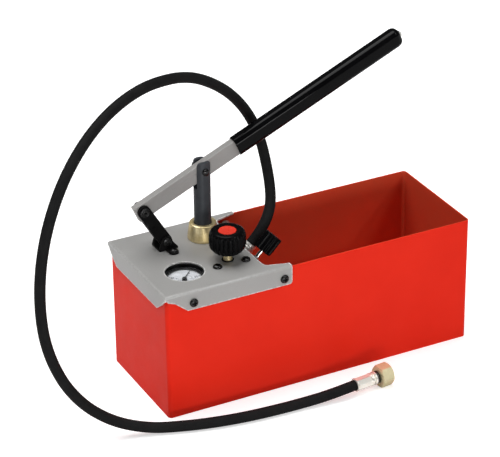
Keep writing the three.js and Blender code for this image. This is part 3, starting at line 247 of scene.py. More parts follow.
def turning(profile, name, finish, body, stands_for, place, steps=64, corner=0.0, bends=3, ring=False):
    """A finished piece spun from a profile, with its corners rounded first where a radius is given."""
    outline = rounded(profile, corner, bends, ring) if corner else profile
    return finished(spun(outline, steps, ring), name, finish, body, stands_for, place)


def tube_profile(inner, outer, low, high):
    return [(inner, low), (outer, low), (outer, high), (inner, high)]


# %% [markdown]
# Knobs, nuts, the grip and the hose aren't round, but each is a stack of rings.
# A circle is extruded straight up, one unit for each ring, and then every point is moved to its real place
# by a function of its ring and its angle. The operators make the faces; the function only shapes them.
# The first and last ring are capped, or joined to each other where the piece has a bore.

# %% Stack rings and shape them


def ring_point(radius, angle, height):
    return Vector((radius * math.cos(angle), radius * math.sin(angle), height))


def stacked(rings, sides, shape, offset=0.0, bored=False):
    bm = bmesh.new()
    bmesh.ops.create_circle(bm, segments=sides, radius=1)
    edges = list(bm.edges)
    for _ in range(rings - 1):
        made = bmesh.ops.extrude_edge_only(bm, edges=edges)["geom"]
        verts = [g for g in made if isinstance(g, bmesh.types.BMVert)]
        top = set(verts)
        edges = [g for g in made if isinstance(g, bmesh.types.BMEdge) and top.issuperset(g.verts)]
        bmesh.ops.translate(bm, verts=verts, vec=(0, 0, 1))
    rims = [e for e in bm.edges if e.is_boundary]
    if not bored:
        bmesh.ops.holes_fill(bm, edges=rims, sides=0)
    for v in bm.verts:
        v.co = shape(round(v.co.z), math.atan2(v.co.y, v.co.x) + offset)
    if bored:
        bmesh.ops.bridge_loops(bm, edges=rims)
    return bm


# %% [markdown]
# Recesses such as a screw's cross are cut with the Boolean modifier, on throwaway objects:
# the result is read back as a mesh, so no modifier and no cutter stays in the scene.

# %% Cut one shape out of another


def scratch_object(name, bm):
    bmesh.ops.recalc_face_normals(bm, faces=bm.faces)
    return mesh_object(name, bm)


def carved(bm, cutters):
    body = scratch_object("scratch_body", bm)
    tools = [scratch_object(f"scratch_tool_{i}", cutter) for i, cutter in enumerate(cutters)]
    for tool in tools:
        modifier = body.modifiers.new("cut", "BOOLEAN")
        modifier.operation = "DIFFERENCE"
        modifier.solver = "EXACT"
        modifier.object = tool
    bpy.context.view_layer.update()
    result = body.evaluated_get(bpy.context.evaluated_depsgraph_get()).to_mesh()
    made = bmesh.new()
    made.from_mesh(result)
    for used in (body, *tools):
        mesh = used.data
        bpy.data.objects.remove(used)
        bpy.data.meshes.remove(mesh)
    return made


# %% [markdown]
# The cutters are plain boxes and prisms. Two shapes that only touch, such as a nut and its washer,
# need no cutting at all: one is read into the other, and they make one piece.

# %% Boxes, prisms and joined shapes


def box_shape(size, centre=(0, 0, 0)):
    bm = bmesh.new()
    bmesh.ops.create_cube(bm, size=1, matrix=Matrix.Translation(centre) @ Matrix.Diagonal((*size, 1)))
    return bm


def prism(sides, radius, low, high):
    bm = bmesh.new()
    bmesh.ops.create_cone(
        bm,
        cap_ends=True,
        segments=sides,
        radius1=radius,
        radius2=radius,
        depth=high - low,
        matrix=Matrix.Translation((0, 0, (low + high) / 2)),
    )
    return bm


def add_shape(bm, other):
    scratch = bpy.data.meshes.new("scratch_shape")
    other.to_mesh(scratch)
    other.free()
    bm.from_mesh(scratch)
    bpy.data.meshes.remove(scratch)
    return bm


# %% [markdown]
# Sheet metal and bars already have the right shape in the frame, but their edges are knife sharp,
# and a sharp edge never catches the light. A merged copy, with its flat triangles dissolved into faces,
# takes a small bevel along every real corner. That thin band is what the eye reads as folded steel.

# %% Soften a frame node's edges
flat_angle = math.radians(0.5)
corner_angle = math.radians(25)


def softened(node, width):
    bm = bmesh.new()
    bm.from_mesh(frame["nodes"][node].data)
    bmesh.ops.remove_doubles(bm, verts=bm.verts, dist=1e-6)
    bmesh.ops.dissolve_limit(bm, angle_limit=flat_angle, verts=bm.verts, edges=bm.edges)
    if width:
        corners = [e for e in bm.edges if e.is_manifold and e.calc_face_angle() > corner_angle]
        bmesh.ops.bevel(
            bm,
            geom=corners,
            offset=width,
            offset_type="OFFSET",
            segments=2,
            profile=0.5,
            affect="EDGES",
            clamp_overlap=True,
            material=-1,
        )
    return bm


# %% [markdown]
# ## Shader groups
# Five effects are made of many nodes or turn up in several finishes, so each is built once as a node group.
# They put out masks and heights that vary over the surface, and the shader stays in each material.

# %% A small node writer


class Nodes:
    """Adds nodes to a tree and joins them, so that a material reads from top to bottom."""

    def __init__(self, tree):
        self.tree = tree

    def add(self, kind, inputs=None, **settings):
        node = self.tree.nodes.new(kind)
        for name, value in settings.items():
            setattr(node, name, value)
        for name, value in (inputs or {}).items():
            self.put(value, node.inputs[name])
        return node

    def put(self, value, socket):
        if isinstance(value, bpy.types.NodeSocket):
            self.tree.links.new(value, socket)
        else:
            socket.default_value = value

    def math(self, operation, *values):
        return self.add("ShaderNodeMath", dict(enumerate(values)), operation=operation).outputs[0]

    def vector(self, operation, *values, output=0):
        node = self.add("ShaderNodeVectorMath", dict(enumerate(values)), operation=operation)
        return node.outputs[output]

    def ranged(self, value, low, high, to_low=0.0, to_high=1.0):
        sizes = {"Value": value, "From Min": low, "From Max": high, "To Min": to_low, "To Max": to_high}
        return self.add("ShaderNodeMapRange", sizes).outputs["Result"]

    def noise(self, vector, scale, detail=2.0, roughness=0.5):
        sizes = {"Vector": vector, "Scale": scale, "Detail": detail, "Roughness": roughness}
        return self.add("ShaderNodeTexNoise", sizes).outputs["Fac"]

    def mixed(self, factor, first, second):
        sizes = {"Factor": factor, "A": first, "B": second}
        return self.add("ShaderNodeMix", sizes, data_type="RGBA").outputs["Result"]

    def tinted(self, tone, mask, share, colour):
        """The tone with a share of another colour in it wherever the mask is white."""
        return self.mixed(self.math("MULTIPLY", mask, share), tone, colour)

    def group(self, tree, vector, values=None):
        inputs = {"Vector": vector, **(values or {})}
        return self.add("ShaderNodeGroup", inputs, node_tree=tree).outputs


def new_group(name, inputs, outputs):
    tree = bpy.data.node_groups.new(name, "ShaderNodeTree")
    for label, kind, value in [("Vector", "Vector", (0, 0, 0)), *inputs]:
        socket = tree.interface.new_socket(label, in_out="INPUT", socket_type=f"NodeSocket{kind}")
        socket.default_value = value
    for label in outputs:
        tree.interface.new_socket(label, in_out="OUTPUT", socket_type="NodeSocketFloat")
    nodes = Nodes(tree)
    print("shader group:", name)
    return tree, nodes, nodes.add("NodeGroupInput").outputs, nodes.add("NodeGroupOutput").inputs


# %% [markdown]
# Powder coat melts into a skin with a faint orange peel, a millimetre or two across,
# and it never has quite the same tone everywhere. The group gives that peel as a height,
# a slow drift of the tone as one mask and its finest specks as another.

# %% Powder coat group
powder_coat, nodes, given, out = new_group(
    "powder_coat",
    [("Peel Scale", "Float", 500.0), ("Drift Scale", "Float", 9.0)],
    ["Height", "Drift", "Speckle"],
)
peel = nodes.noise(given["Vector"], given["Peel Scale"], 1.0)
speckle = nodes.noise(given["Vector"], nodes.math("MULTIPLY", given["Peel Scale"], 3.1), 2.0)
drift = nodes.noise(given["Vector"], given["Drift Scale"], 3.0, 0.55)
nodes.put(nodes.math("ADD", peel, nodes.math("MULTIPLY", speckle, 0.25)), out["Height"])
nodes.put(nodes.ranged(drift, 0.3, 0.7), out["Drift"])
nodes.put(nodes.ranged(speckle, 0.35, 0.65), out["Speckle"])

# %% [markdown]
# Edges are painted lighter: a painted highlight where they catch the light, with a little real rubbing. The
# Bevel node knows where a corner is:
# it rounds the normal there, and the more that rounded normal leaves the true one, the closer the point is to
# an edge.
# A little noise breaks the band up, so the painted highlight never runs as an even line.

# %% Painted edge highlight group, with a little rubbing
# Painted highlight along every edge, with a little real rubbing: the mask marks the band.
edge_highlight_and_wear, nodes, given, out = new_group(
    "edge_highlight_and_wear", [("Radius", "Float", 0.0006), ("Break Up", "Float", 260.0)], ["Mask"]
)
rounded_normal = nodes.add("ShaderNodeBevel", {"Radius": given["Radius"]}, samples=4).outputs["Normal"]
true_normal = nodes.add("ShaderNodeNewGeometry").outputs["Normal"]
agreement = nodes.vector("DOT_PRODUCT", rounded_normal, true_normal, output="Value")
edge = nodes.ranged(nodes.math("SUBTRACT", 1.0, agreement), 0.004, 0.16)
broken = nodes.ranged(nodes.noise(given["Vector"], given["Break Up"], 3.0), 0.35, 0.62)
nodes.put(nodes.math("MULTIPLY", edge, broken), out["Mask"])

# %% [markdown]
# A turned or ground surface keeps the tool's path as rings round its axis.
# Height along the axis and distance from it are added, so the same rings run round a rod's side
# and in circles over its end. A one-dimensional noise of that sum makes rings of uneven depth.

# %% Turning marks group
turning_marks, nodes, given, out = new_group(
    "turning_marks",
    [("Centre", "Vector", (0, 0, 0)), ("Axis", "Vector", (0, 0, 1)), ("Fineness", "Float", 2500.0)],
    ["Height", "Mask"],
)
offset = nodes.vector("SUBTRACT", given["Vector"], given["Centre"])
along = nodes.vector("DOT_PRODUCT", offset, given["Axis"], output="Value")
outward = nodes.vector("CROSS_PRODUCT", offset, given["Axis"])
away = nodes.vector("LENGTH", outward, output="Value")
path = nodes.math("MULTIPLY", nodes.math("ADD", along, away), given["Fineness"])
sizes = {"W": path, "Scale": 1.0, "Detail": 2.0}
rings = nodes.add("ShaderNodeTexNoise", sizes, noise_dimensions="1D").outputs["Fac"]
nodes.put(rings, out["Height"])
nodes.put(nodes.ranged(rings, 0.35, 0.65), out["Mask"])

# %% [markdown]
# Anything that is picked up gathers faint smears, which show mostly as patches of different gloss.
# The group returns a roughness between two given values, and the smears as a mask.

# %% Handling marks group
handling, nodes, given, out = new_group(
    "handling_marks",
    [("Scale", "Float", 40.0), ("Low", "Float", 0.3), ("High", "Float", 0.45)],
    ["Roughness", "Mask"],
)
smears = nodes.ranged(nodes.noise(given["Vector"], given["Scale"], 4.0, 0.6), 0.32, 0.7)
spread = nodes.math("SUBTRACT", given["High"], given["Low"])
nodes.put(nodes.math("MULTIPLY_ADD", smears, spread, given["Low"]), out["Roughness"])
nodes.put(smears, out["Mask"])

# %% [markdown]
# The inside of the tank lies in shade, and that shade is painted in: a browner, duller tone on the walls'
# inside.
# The group marks every point that lies further in than the middle of the sheet, round the corners too.

# %% Painted shade group for the tank's inside
tank_low, tank_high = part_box("tank")
half_sheet = 0.00075
tank_corner = 0.005
straight_half = (tank_high - tank_low) / 2 - Vector((tank_corner, tank_corner, 0))
# Painted shade: the mask marks the tank's inside, where its paint turns browner and duller.
inside_painted_shade, nodes, given, out = new_group("inside_painted_shade", [], ["Mask"])
offset = nodes.vector("SUBTRACT", given["Vector"], (tank_low + tank_high) / 2)
past_straight = nodes.vector("SUBTRACT", nodes.vector("ABSOLUTE", offset), straight_half)
in_corner = nodes.vector("MULTIPLY", nodes.vector("MAXIMUM", past_straight, (0, 0, 0)), (1, 1, 0))
reach = nodes.vector("LENGTH", in_corner, output="Value")
within_walls = nodes.math("LESS_THAN", reach, tank_corner - half_sheet)
height = nodes.add("ShaderNodeSeparateXYZ", {"Vector": given["Vector"]}).outputs["Z"]
above_floor = nodes.math("GREATER_THAN", height, tank_low.z + half_sheet)
within = nodes.math("MULTIPLY", within_walls, above_floor)
patches = nodes.ranged(nodes.noise(given["Vector"], 14.0, 3.0), 0.3, 0.7, 0.8, 1.0)
nodes.put(nodes.math("MULTIPLY", within, patches), out["Mask"])

# %% [markdown]
# ## Finishes
# The photograph gives each colour as it looks on screen, so they are written that way and converted.
# Every finish starts the same: a Principled shader, and Object coordinates that stay put
# because each piece keeps its place in its mesh. It ends the same too, with a colour, a roughness and a bump.

# %% Start and end a finish


def screen_colour(*levels):
    """Red, green and blue from 0 to 255, as the linear light that shaders work with."""
    shares = [level / 255 for level in levels]
    linear = [s / 12.92 if s <= 0.04045 else ((s + 0.055) / 1.055) ** 2.4 for s in shares]
    return (*linear, 1)


def new_finish(name, metallic=0.0, gloss=0.5):
    material = bpy.data.materials.new(name)
    material.use_nodes = True
    material.node_tree.nodes.clear()
    nodes = Nodes(material.node_tree)
    shader = nodes.add("ShaderNodeBsdfPrincipled", {"Metallic": metallic, "Specular IOR Level": gloss})
    nodes.add("ShaderNodeOutputMaterial", {"Surface": shader.outputs["BSDF"]})
    finishes[name] = material
    print("finish:", name)
    return nodes, shader, nodes.add("ShaderNodeTexCoord").outputs["Object"]


def handled(nodes, vector, rough, scale=40.0):
    return nodes.group(handling, vector, {"Scale": scale, "Low": rough[0], "High": rough[1]})


def surfaced(nodes, shader, colour, roughness, height=None, strength=0.0, depth=0.0):
    nodes.put(colour, shader.inputs["Base Color"])
    nodes.put(roughness, shader.inputs["Roughness"])
    if depth:
        relief = {"Height": height, "Strength": strength, "Distance": depth}
        nodes.put(nodes.add("ShaderNodeBump", relief).outputs["Normal"], shader.inputs["Normal"])


# %% [markdown]
# Three pieces are painted: the red tank, the light grey plate and the warmer grey lever.
# Each is the same powder coat in another colour: a drift between two close tones, a lighter tone along the
# edges as a painted highlight with a little rubbing, and the orange peel as a bump. Only the tank has painted
# shade, on its inside.

# %% Painted steel
inside_shade_tone = screen_colour(170, 124, 85)
speckle_share = 0.06


def painted(name, colour, deeper, highlight_and_speck_tone, rough, depth, gloss, highlight_share=0.5, edge_radius=0.0006, inside_shade_share=0.0):
    nodes, shader, vector = new_finish(name, gloss=gloss)
    coat = nodes.group(powder_coat, vector)
    worn = nodes.group(edge_highlight_and_wear, vector, {"Radius": edge_radius})
    hands = handled(nodes, vector, rough)
    light = screen_colour(*highlight_and_speck_tone)
    tone = nodes.mixed(coat["Drift"], screen_colour(*colour), screen_colour(*deeper))
    tone = nodes.tinted(tone, coat["Speckle"], speckle_share, light)
    # Painted shade: the tank's inside turns browner and duller.
    if inside_shade_share:
        tone = nodes.tinted(tone, nodes.group(inside_painted_shade, vector)["Mask"], inside_shade_share, inside_shade_tone)
    # Painted highlight along the edges, with a little rubbing: the lighter tone.
    tone = nodes.tinted(tone, worn["Mask"], highlight_share, light)
    surfaced(nodes, shader, tone, hands["Roughness"], coat["Height"], strength=0.35, depth=depth)


painted(
    "tank_red",
    (232, 44, 26),
    (224, 39, 22),
    (224, 70, 52),
    rough=(0.3, 0.42),
    depth=0.00006,
    gloss=0.05,
    # how much painted shade the tank's inside gets
    inside_shade_share=0.34,
)
painted(
    "plate_grey",
    (153, 152, 150),
    (146, 145, 143),
    (248, 247, 245),
    rough=(0.28, 0.33),
    depth=0.00003,
    gloss=0.85,
    # a full painted highlight along the plate's folds and its window's rim
    highlight_share=1.0,
    edge_radius=0.0034,
)
painted(
    "lever_grey",
    (149, 147, 145),
    (142, 140, 138),
    (192, 190, 187),
    rough=(0.34, 0.46),
    depth=0.00004,
    gloss=0.4,
)

# %% [markdown]
# The bracket and links are blackened steel: nearly black and satin. Their edges are a touch lighter and
# browner, partly where the coating is thin and partly as a painted highlight where the edges catch the light.

# %% Blackened steel
nodes, shader, vector = new_finish("black_steel", gloss=0.05)
coat = nodes.group(powder_coat, vector, {"Peel Scale": 900.0, "Drift Scale": 60.0})
worn = nodes.group(edge_highlight_and_wear, vector, {"Radius": 0.0005})
hands = handled(nodes, vector, (0.26, 0.42), 120.0)
tone = nodes.mixed(coat["Drift"], screen_colour(13, 13, 14), screen_colour(19, 18, 18))
# Painted highlight along the edges, partly thinner coating: a lighter brownish grey.
tone = nodes.tinted(tone, worn["Mask"], 0.6, screen_colour(92, 88, 84))
surfaced(nodes, shader, tone, hands["Roughness"], coat["Height"], strength=0.3, depth=0.00004)

# %% [markdown]
# Screws and bolts have the same blackening on a polished surface, so they glint where the steel is satin.

# %% Polished black screws
nodes, shader, vector = new_finish("screw_black", gloss=0.4)
hands = handled(nodes, vector, (0.2, 0.3), 300.0)
tone = nodes.mixed(hands["Mask"], screen_colour(9, 9, 10), screen_colour(16, 15, 15))
grain = nodes.noise(vector, 2500.0, 2.0)
surfaced(nodes, shader, tone, hands["Roughness"], grain, strength=0.2, depth=0.00002)

# %% [markdown]
# Moulded plastic has its grain from the mould: much finer than paint. The knobs are glossy black, the dipped
# grip is glossier still, the gauge's case is duller, and the knob's cap is red.

# %% Moulded plastic


def moulded(name, colour, deeper, rough, grain, depth, gloss=0.06):
    nodes, shader, vector = new_finish(name, gloss=gloss)
    coat = nodes.group(powder_coat, vector, {"Peel Scale": grain, "Drift Scale": 25.0})
    hands = handled(nodes, vector, rough, 70.0)
    tone = nodes.mixed(coat["Drift"], screen_colour(*colour), screen_colour(*deeper))
    surfaced(nodes, shader, tone, hands["Roughness"], coat["Height"], strength=0.3, depth=depth)


moulded("black_plastic", (5, 5, 6), (9, 9, 10), rough=(0.22, 0.34), grain=700, depth=0.00003)
moulded("dipped_black", (5, 5, 6), (9, 9, 10), rough=(0.05, 0.08), grain=500, depth=0.000004, gloss=0.09)
moulded("gauge_black", (12, 12, 13), (18, 18, 18), rough=(0.38, 0.5), grain=900, depth=0.00003)
moulded("red_plastic", (218, 58, 42), (204, 48, 34), rough=(0.24, 0.34), grain=800, depth=0.00002, gloss=0.2)

# %% [markdown]
# Bare metals differ in colour, in how rough they are and in how they were cut.
# One function makes them all from those three facts. The axis says which way the lathe turned the piece,
# so a leaning spindle gets rings round its own axis.

# %% Bare metals
pump_axis = middle("gland_nut")
valve_axis = middle("valve_knob")
bleed_axis = Vector(joints["bleed_turn"]["axis"])
union_axis = Vector(joints["union_spin"]["axis"])
union_centre = Vector(joints["union_spin"]["pos_m"])


def bare_metal(name, colour, deeper, rough, fineness, depth, centre=(0, 0, 0), axis=up_z, metallic=1.0):
    nodes, shader, vector = new_finish(name, metallic=metallic, gloss=0.2)
    cuts = nodes.group(turning_marks, vector, {"Centre": centre, "Axis": axis, "Fineness": fineness})
    hands = handled(nodes, vector, rough, 90.0)
    dark = screen_colour(*deeper)
    tone = nodes.mixed(hands["Mask"], screen_colour(*colour), dark)
    tone = nodes.tinted(tone, cuts["Mask"], 0.35, dark)
    surfaced(nodes, shader, tone, hands["Roughness"], cuts["Height"], strength=0.4, depth=depth)


bare_metal("rod_steel", (62, 65, 69), (55, 58, 62), (0.4, 0.5), 1800, 0.00002, pump_axis, metallic=0.1)
bare_metal("brass", (248, 232, 188), (206, 184, 128), (0.34, 0.42), 1400, 0.00008, pump_axis, metallic=0.74)
bare_metal("zinc_steel", (222, 221, 216), (200, 198, 192), (0.24, 0.36), 1500, 0.00004, metallic=0.5)
bare_metal(
    "union_zinc",
    (238, 228, 188),
    (222, 210, 166),
    rough=(0.32, 0.42),
    fineness=1600,
    depth=0.00002,
    centre=union_centre,
    axis=union_axis,
    metallic=0.6,
)
bare_metal(
    "ferrule_zinc",
    (253, 251, 244),
    (244, 240, 229),
    rough=(0.2, 0.26),
    fineness=500,
    depth=0,
    centre=union_centre,
    axis=union_axis,
    metallic=0.62,
)
bare_metal("bright_chrome", (236, 236, 236), (222, 222, 222), (0.08, 0.14), 1800, 0.00002, axis=bleed_axis)
bare_metal("block_aluminium", (200, 202, 204), (184, 186, 188), (0.36, 0.5), 1200, 0.00005, axis=along_y)

# %% [markdown]
# The hose is rubber that was cured inside a wrapped cloth, which leaves a fine criss-cross on its skin.
# The pattern has to run along the hose and not through space, so the hose will carry an attribute:
# the place each point would have if the hose lay straight. Two sets of slanting waves cross in it.

# %% Rubber and fibre
wrap_turns = 22.0
wrap_pitch = 0.0026

nodes, shader, _ = new_finish("hose_rubber", gloss=0.06)
straight = nodes.add("ShaderNodeAttribute", attribute_name="straight").outputs["Vector"]
parts = nodes.add("ShaderNodeSeparateXYZ", {"Vector": straight}).outputs
angle = nodes.math("MULTIPLY", nodes.math("ARCTAN2", parts["Y"], parts["X"]), wrap_turns)
travel = nodes.math("MULTIPLY", parts["Z"], 2 * math.pi / wrap_pitch)
one_way = nodes.math("SINE", nodes.math("ADD", angle, travel))
other_way = nodes.math("SINE", nodes.math("SUBTRACT", angle, travel))
cloth = nodes.math("MULTIPLY", nodes.math("ADD", one_way, other_way), 0.5)
blotches = nodes.noise(straight, 60.0, 4.0, 0.6)
dust = nodes.noise(straight, 1400.0, 2.0)
tone = nodes.mixed(nodes.ranged(blotches, 0.3, 0.7), screen_colour(20, 20, 21), screen_colour(28, 28, 28))
tone = nodes.mixed(nodes.ranged(dust, 0.55, 0.8, 0.0, 0.25), tone, screen_colour(66, 65, 63))
roughness = nodes.ranged(blotches, 0.3, 0.7, 0.55, 0.7)
relief = nodes.math("ADD", cloth, nodes.math("MULTIPLY", dust, 0.8))
surfaced(nodes, shader, tone, roughness, relief, strength=0.5, depth=0.00009)

moulded("seal_rubber", (24, 24, 24), (34, 33, 33), rough=(0.55, 0.7), grain=900, depth=0.00004)
moulded("packing_fibre", (214, 208, 192), (196, 188, 168), rough=(0.75, 0.9), grain=1600, depth=0.0001)

# %% [markdown]
# The dial is printed card behind a clear window. Glass that bends light would leave the dial
# in its own shadow, so for shadow rays the material is simply transparent.

# %% Dial and window
moulded("dial_white", (182, 182, 186), (174, 174, 178), rough=(0.5, 0.62), grain=1500, depth=0.00001)
moulded("dial_ink", (18, 18, 20), (30, 30, 32), rough=(0.5, 0.62), grain=1500, depth=0.00001)

nodes, shader, vector = new_finish("clear_glass")
shader.inputs["IOR"].default_value = 1.46
shader.inputs["Transmission Weight"].default_value = 1.0
hands = handled(nodes, vector, (0.01, 0.06), 55.0)
clean_glass, smeared_glass = (0.97, 0.985, 0.98, 1), (0.93, 0.955, 0.95, 1)
surfaced(nodes, shader, nodes.mixed(hands["Mask"], clean_glass, smeared_glass), hands["Roughness"])
clear = nodes.add("ShaderNodeBsdfTransparent").outputs["BSDF"]
shadow_ray = nodes.add("ShaderNodeLightPath").outputs["Is Shadow Ray"]
blend = nodes.add("ShaderNodeMixShader", {"Fac": shadow_ray, 1: shader.outputs["BSDF"], 2: clear})
surface = next(n for n in nodes.tree.nodes if n.type == "OUTPUT_MATERIAL").inputs["Surface"]
nodes.put(blend.outputs["Shader"], surface)

# %% [markdown]
# ## The hose
# Half-inch pressure hose is stiff: it leaves its ferrule straight, climbs past the lever, swings round in one
# wide loop and lies down in front of the tank. The route is a given list of points.
# A smooth curve through them, with a ring of points every few millimetres, gives the tube.

# %% Route of the hose
hose_route_mm = [
    (-61.16, -5, 174.21),
    (-57.2, -4.9, 178.2),
    (-50.3, -3.9, 184.6),
    (-41.5, -0.3, 192),
    (-31.9, 6.6, 199.4),
    (-22.4, 17, 206.8),
    (-14.9, 29, 214.3),
    (-9.2, 41.9, 223.9),
    (-5.8, 52.8, 235),
    (-4.3, 62.7, 250),
    (-5.5, 70, 268.5),
    (-11, 74, 289.5),
    (-21, 75, 312),
    (-36, 72, 334.5),
    (-56, 67, 356.5),
    (-80, 60, 376),
    (-106.5, 52, 392),
    (-128, 45, 400.5),
    (-147.5, 38, 405.5),
    (-186.5, 23.5, 409.5),
    (-225, 7.5, 405.5),
    (-261.5, -9, 394),
    (-295, -25, 374.5),
    (-324, -39.5, 348),
    (-347.5, -52.5, 316.5),
    (-365.5, -63.5, 280),
    (-376.5, -71.5, 241),
    (-381, -77, 199.5),
    (-378.5, -80, 158),
    (-368, -81, 117.5),
    (-350.5, -82, 80),
    (-325, -84.5, 47),
    (-291.5, -91, 22),
    (-253.5, -102.5, 9.5),
    (-214.5, -116, 7.5),
    (-174.5, -127, 7.5),
    (-133.5, -134, 7.5),
    (-91.5, -137.5, 7.5),
    (-60, -139, 7.8),
    (-34, -141, 9.4),
    (-12, -142.6, 11.9),
    (3, -142.6, 13.3),
    (15.5, -141.3, 13.55),
]
hose_route = [Vector(point) / 1000 for point in hose_route_mm]
ring_spacing = 0.005


def smooth_route(points, spacing):
    """A centripetal curve through the points, as a list of points about one spacing apart."""
    ends = [2 * points[0] - points[1], *points, 2 * points[-1] - points[-2]]
    made = []
    for p0, p1, p2, p3 in zip(ends, ends[1:], ends[2:], ends[3:]):
        a, b, c = ((q - p).length ** 0.5 for p, q in ((p0, p1), (p1, p2), (p2, p3)))
        near = (a * a * p2 - b * b * p0 + (2 * a * a + 3 * a * b + b * b) * p1) / (3 * a * (a + b))
        far = (c * c * p1 - b * b * p3 + (2 * c * c + 3 * c * b + b * b) * p2) / (3 * c * (c + b))
        steps = max(1, round((p2 - p1).length / spacing))
        for k in range(steps):
            t = k / steps
            s = 1 - t
            made.append(s**3 * p1 + 3 * s * s * t * near + 3 * s * t * t * far + t**3 * p2)
    return made + [points[-1].copy()]


hose_path = smooth_route(hose_route, ring_spacing)
travelled = [0.0]
for p, q in zip(hose_path, hose_path[1:]):
    travelled.append(travelled[-1] + (q - p).length)
print("hose length, m:", round(travelled[-1], 3), "in", len(hose_path), "rings")

# %% [markdown]
# A ring must not spin as it travels, or the wrap pattern would twist. Each ring therefore takes
# the last ring's sideways direction and tips it only as much as the path itself turns.

# %% Rings along the route
hose_radius = 0.007
hose_sides = 28


def carried_frames(path):
    tangents = [(q - p).normalized() for p, q in zip(path, path[1:])]
    tangents.append(tangents[-1])
    side = tangents[0].cross(up_z).normalized()
    frames = []
    last = tangents[0]
    for tangent in tangents:
        side = last.rotation_difference(tangent) @ side
        frames.append((side.copy(), tangent.cross(side)))
        last = tangent
    return frames


hose_frames = carried_frames(hose_path)
hose_bm = stacked(len(hose_path), hose_sides, lambda ring, angle: ring_point(1, angle, ring))
straight_layer = hose_bm.verts.layers.float_vector.new("straight")
for v in hose_bm.verts:
    ring, angle = round(v.co.z), math.atan2(v.co.y, v.co.x)
    v[straight_layer] = ring_point(hose_radius, angle, travelled[ring])
    side, over = hose_frames[ring]
    v.co = hose_path[ring] + hose_radius * (math.cos(angle) * side + math.sin(angle) * over)
hose = finished(hose_bm, "pressure_hose", "hose_rubber", "pump_frame", ["hose"])

# %% [markdown]
# ## Tank, cover plate and frame pieces
# The tank is folded and welded sheet, the plate a pressing with three flanges. Like the bars and the block,
# they only need softer edges.

# %% Sheet metal and bars
sheet_edge = 0.0004
bar_edge = 0.0003
block_edge = 0.0005
soft_edged_pieces = {
    "tank": ("water_tank", "tank_red", "pump_frame", sheet_edge),
    "cover_plate": ("cover_pressing", "plate_grey", "pump_frame", sheet_edge),
    "link_bracket": ("pivot_bracket", "black_steel", "pump_frame", sheet_edge),
    "lever_bar": ("lever_flat", "lever_grey", "lever", bar_edge),
    "valve_block": ("machined_block", "block_aluminium", "pump_frame", block_edge),
}
for node, (name, finish, body, edge) in soft_edged_pieces.items():
    finished(softened(node, edge), name, finish, body, [node], outward=False)

# %% [markdown]
# What sits under the plate is seen only through the tank's mouth. Its solids are already right,
# so each gets a merged copy whose facets are shaded round, and its own metal.

# %% Pieces under the plate
hidden_pieces = {
    "pump_barrel": ("zinc_steel", "pump_frame"),
    "gland_packing": ("packing_fibre", "pump_frame"),
    "pump_foot": ("brass", "pump_frame"),
    "suction_seat": ("brass", "pump_frame"),
    "strainer": ("zinc_steel", "pump_frame"),
    "riser_pipe": ("zinc_steel", "pump_frame"),
    "riser_nut": ("brass", "pump_frame"),
    "plunger_seal": ("seal_rubber", "plunger"),
    "suction_ball": ("bright_chrome", "suction_valve"),
    "delivery_ball": ("bright_chrome", "delivery_valve"),
    "valve_ring": ("seal_rubber", "pump_frame"),
    "bourdon_tube": ("brass", "pump_frame"),
    "gauge_stem": ("brass", "pump_frame"),
    "gauge_case": ("gauge_black", "pump_frame"),
}
for node, (finish, body) in hidden_pieces.items():
    finished(softened(node, 0), f"{node}_smooth", finish, body, [node], outward=False)

# %% [markdown]
# ## Screws, nuts and pins
# Eight pan head screws hold the pump together. A pan head is a low dome with a cross-shaped recess:
# a spun profile with two short bars cut out of it. The sizes are shares of the head's radius or height.

# %% Pan head screws
dome_shares = [(1, 0), (1, 0.28), (0.95, 0.5), (0.82, 0.74), (0.6, 0.91), (0.32, 0.985), (0, 1)]
head_share = 0.62
cross_width_share = 0.3
cross_reach_share = 1.25
cross_depth_share = 0.75
shank_radius = 0.0025
flange_corners = {"front_left": -1, "front_right": -1, "back_left": 1, "back_right": 1}


def pan_screw(node, axis):
    place, low, high, head = on_axis(node, axis)
    seat = high - head_share * head
    tip = [(0, low), (0.7 * shank_radius, low), (shank_radius, low + 0.4 * shank_radius)]
    dome = [(head * r, seat + (high - seat) * z) for r, z in dome_shares]
    blank = spun([*tip, (shank_radius, seat), *dome], 32)
    reach, width = head * cross_reach_share, head * cross_width_share
    depth = 2 * (high - seat) * cross_depth_share
    bars = [box_shape((x, y, depth), (0, 0, high)) for x, y in ((reach, width), (width, reach))]
    finished(carved(blank, bars), f"{node}_pan", "screw_black", "pump_frame", [node], place)


for corner, sign in flange_corners.items():
    pan_screw(f"flange_screw_{corner}", sign * along_y)
for node in ("bracket_screw_front", "bracket_screw_back", "block_screw_left", "block_screw_right"):
    pan_screw(node, up_z)

# %% [markdown]
# A real hexagon nut is chamfered: its corners are turned away in a cone, so each flat ends in an arch.
# In a stack of rings the arch comes by itself, because the chamfer drops with the distance from the axis.

# %% Hexagon shapes
nut_sides = 72
worn_corner_share = 0.985
chamfer_share = 0.97
chamfer_slope = math.tan(math.radians(30))


def hexagon_reach(flats, angle):
    """Distance to the side of a hexagon whose corners are slightly worn."""
    third = math.pi / 3
    sharp = flats / 2 / math.cos((angle + third / 2) % third - third / 2)
    return min(sharp, worn_corner_share * flats / math.sqrt(3))


def corner_direction(node, place):
    """The angle of one of the frame node's own corners, so that the new nut stands as the frame's does."""
    farthest = max(local_points(node, place), key=lambda p: math.hypot(p.x, p.y))
    return math.atan2(farthest.y, farthest.x)


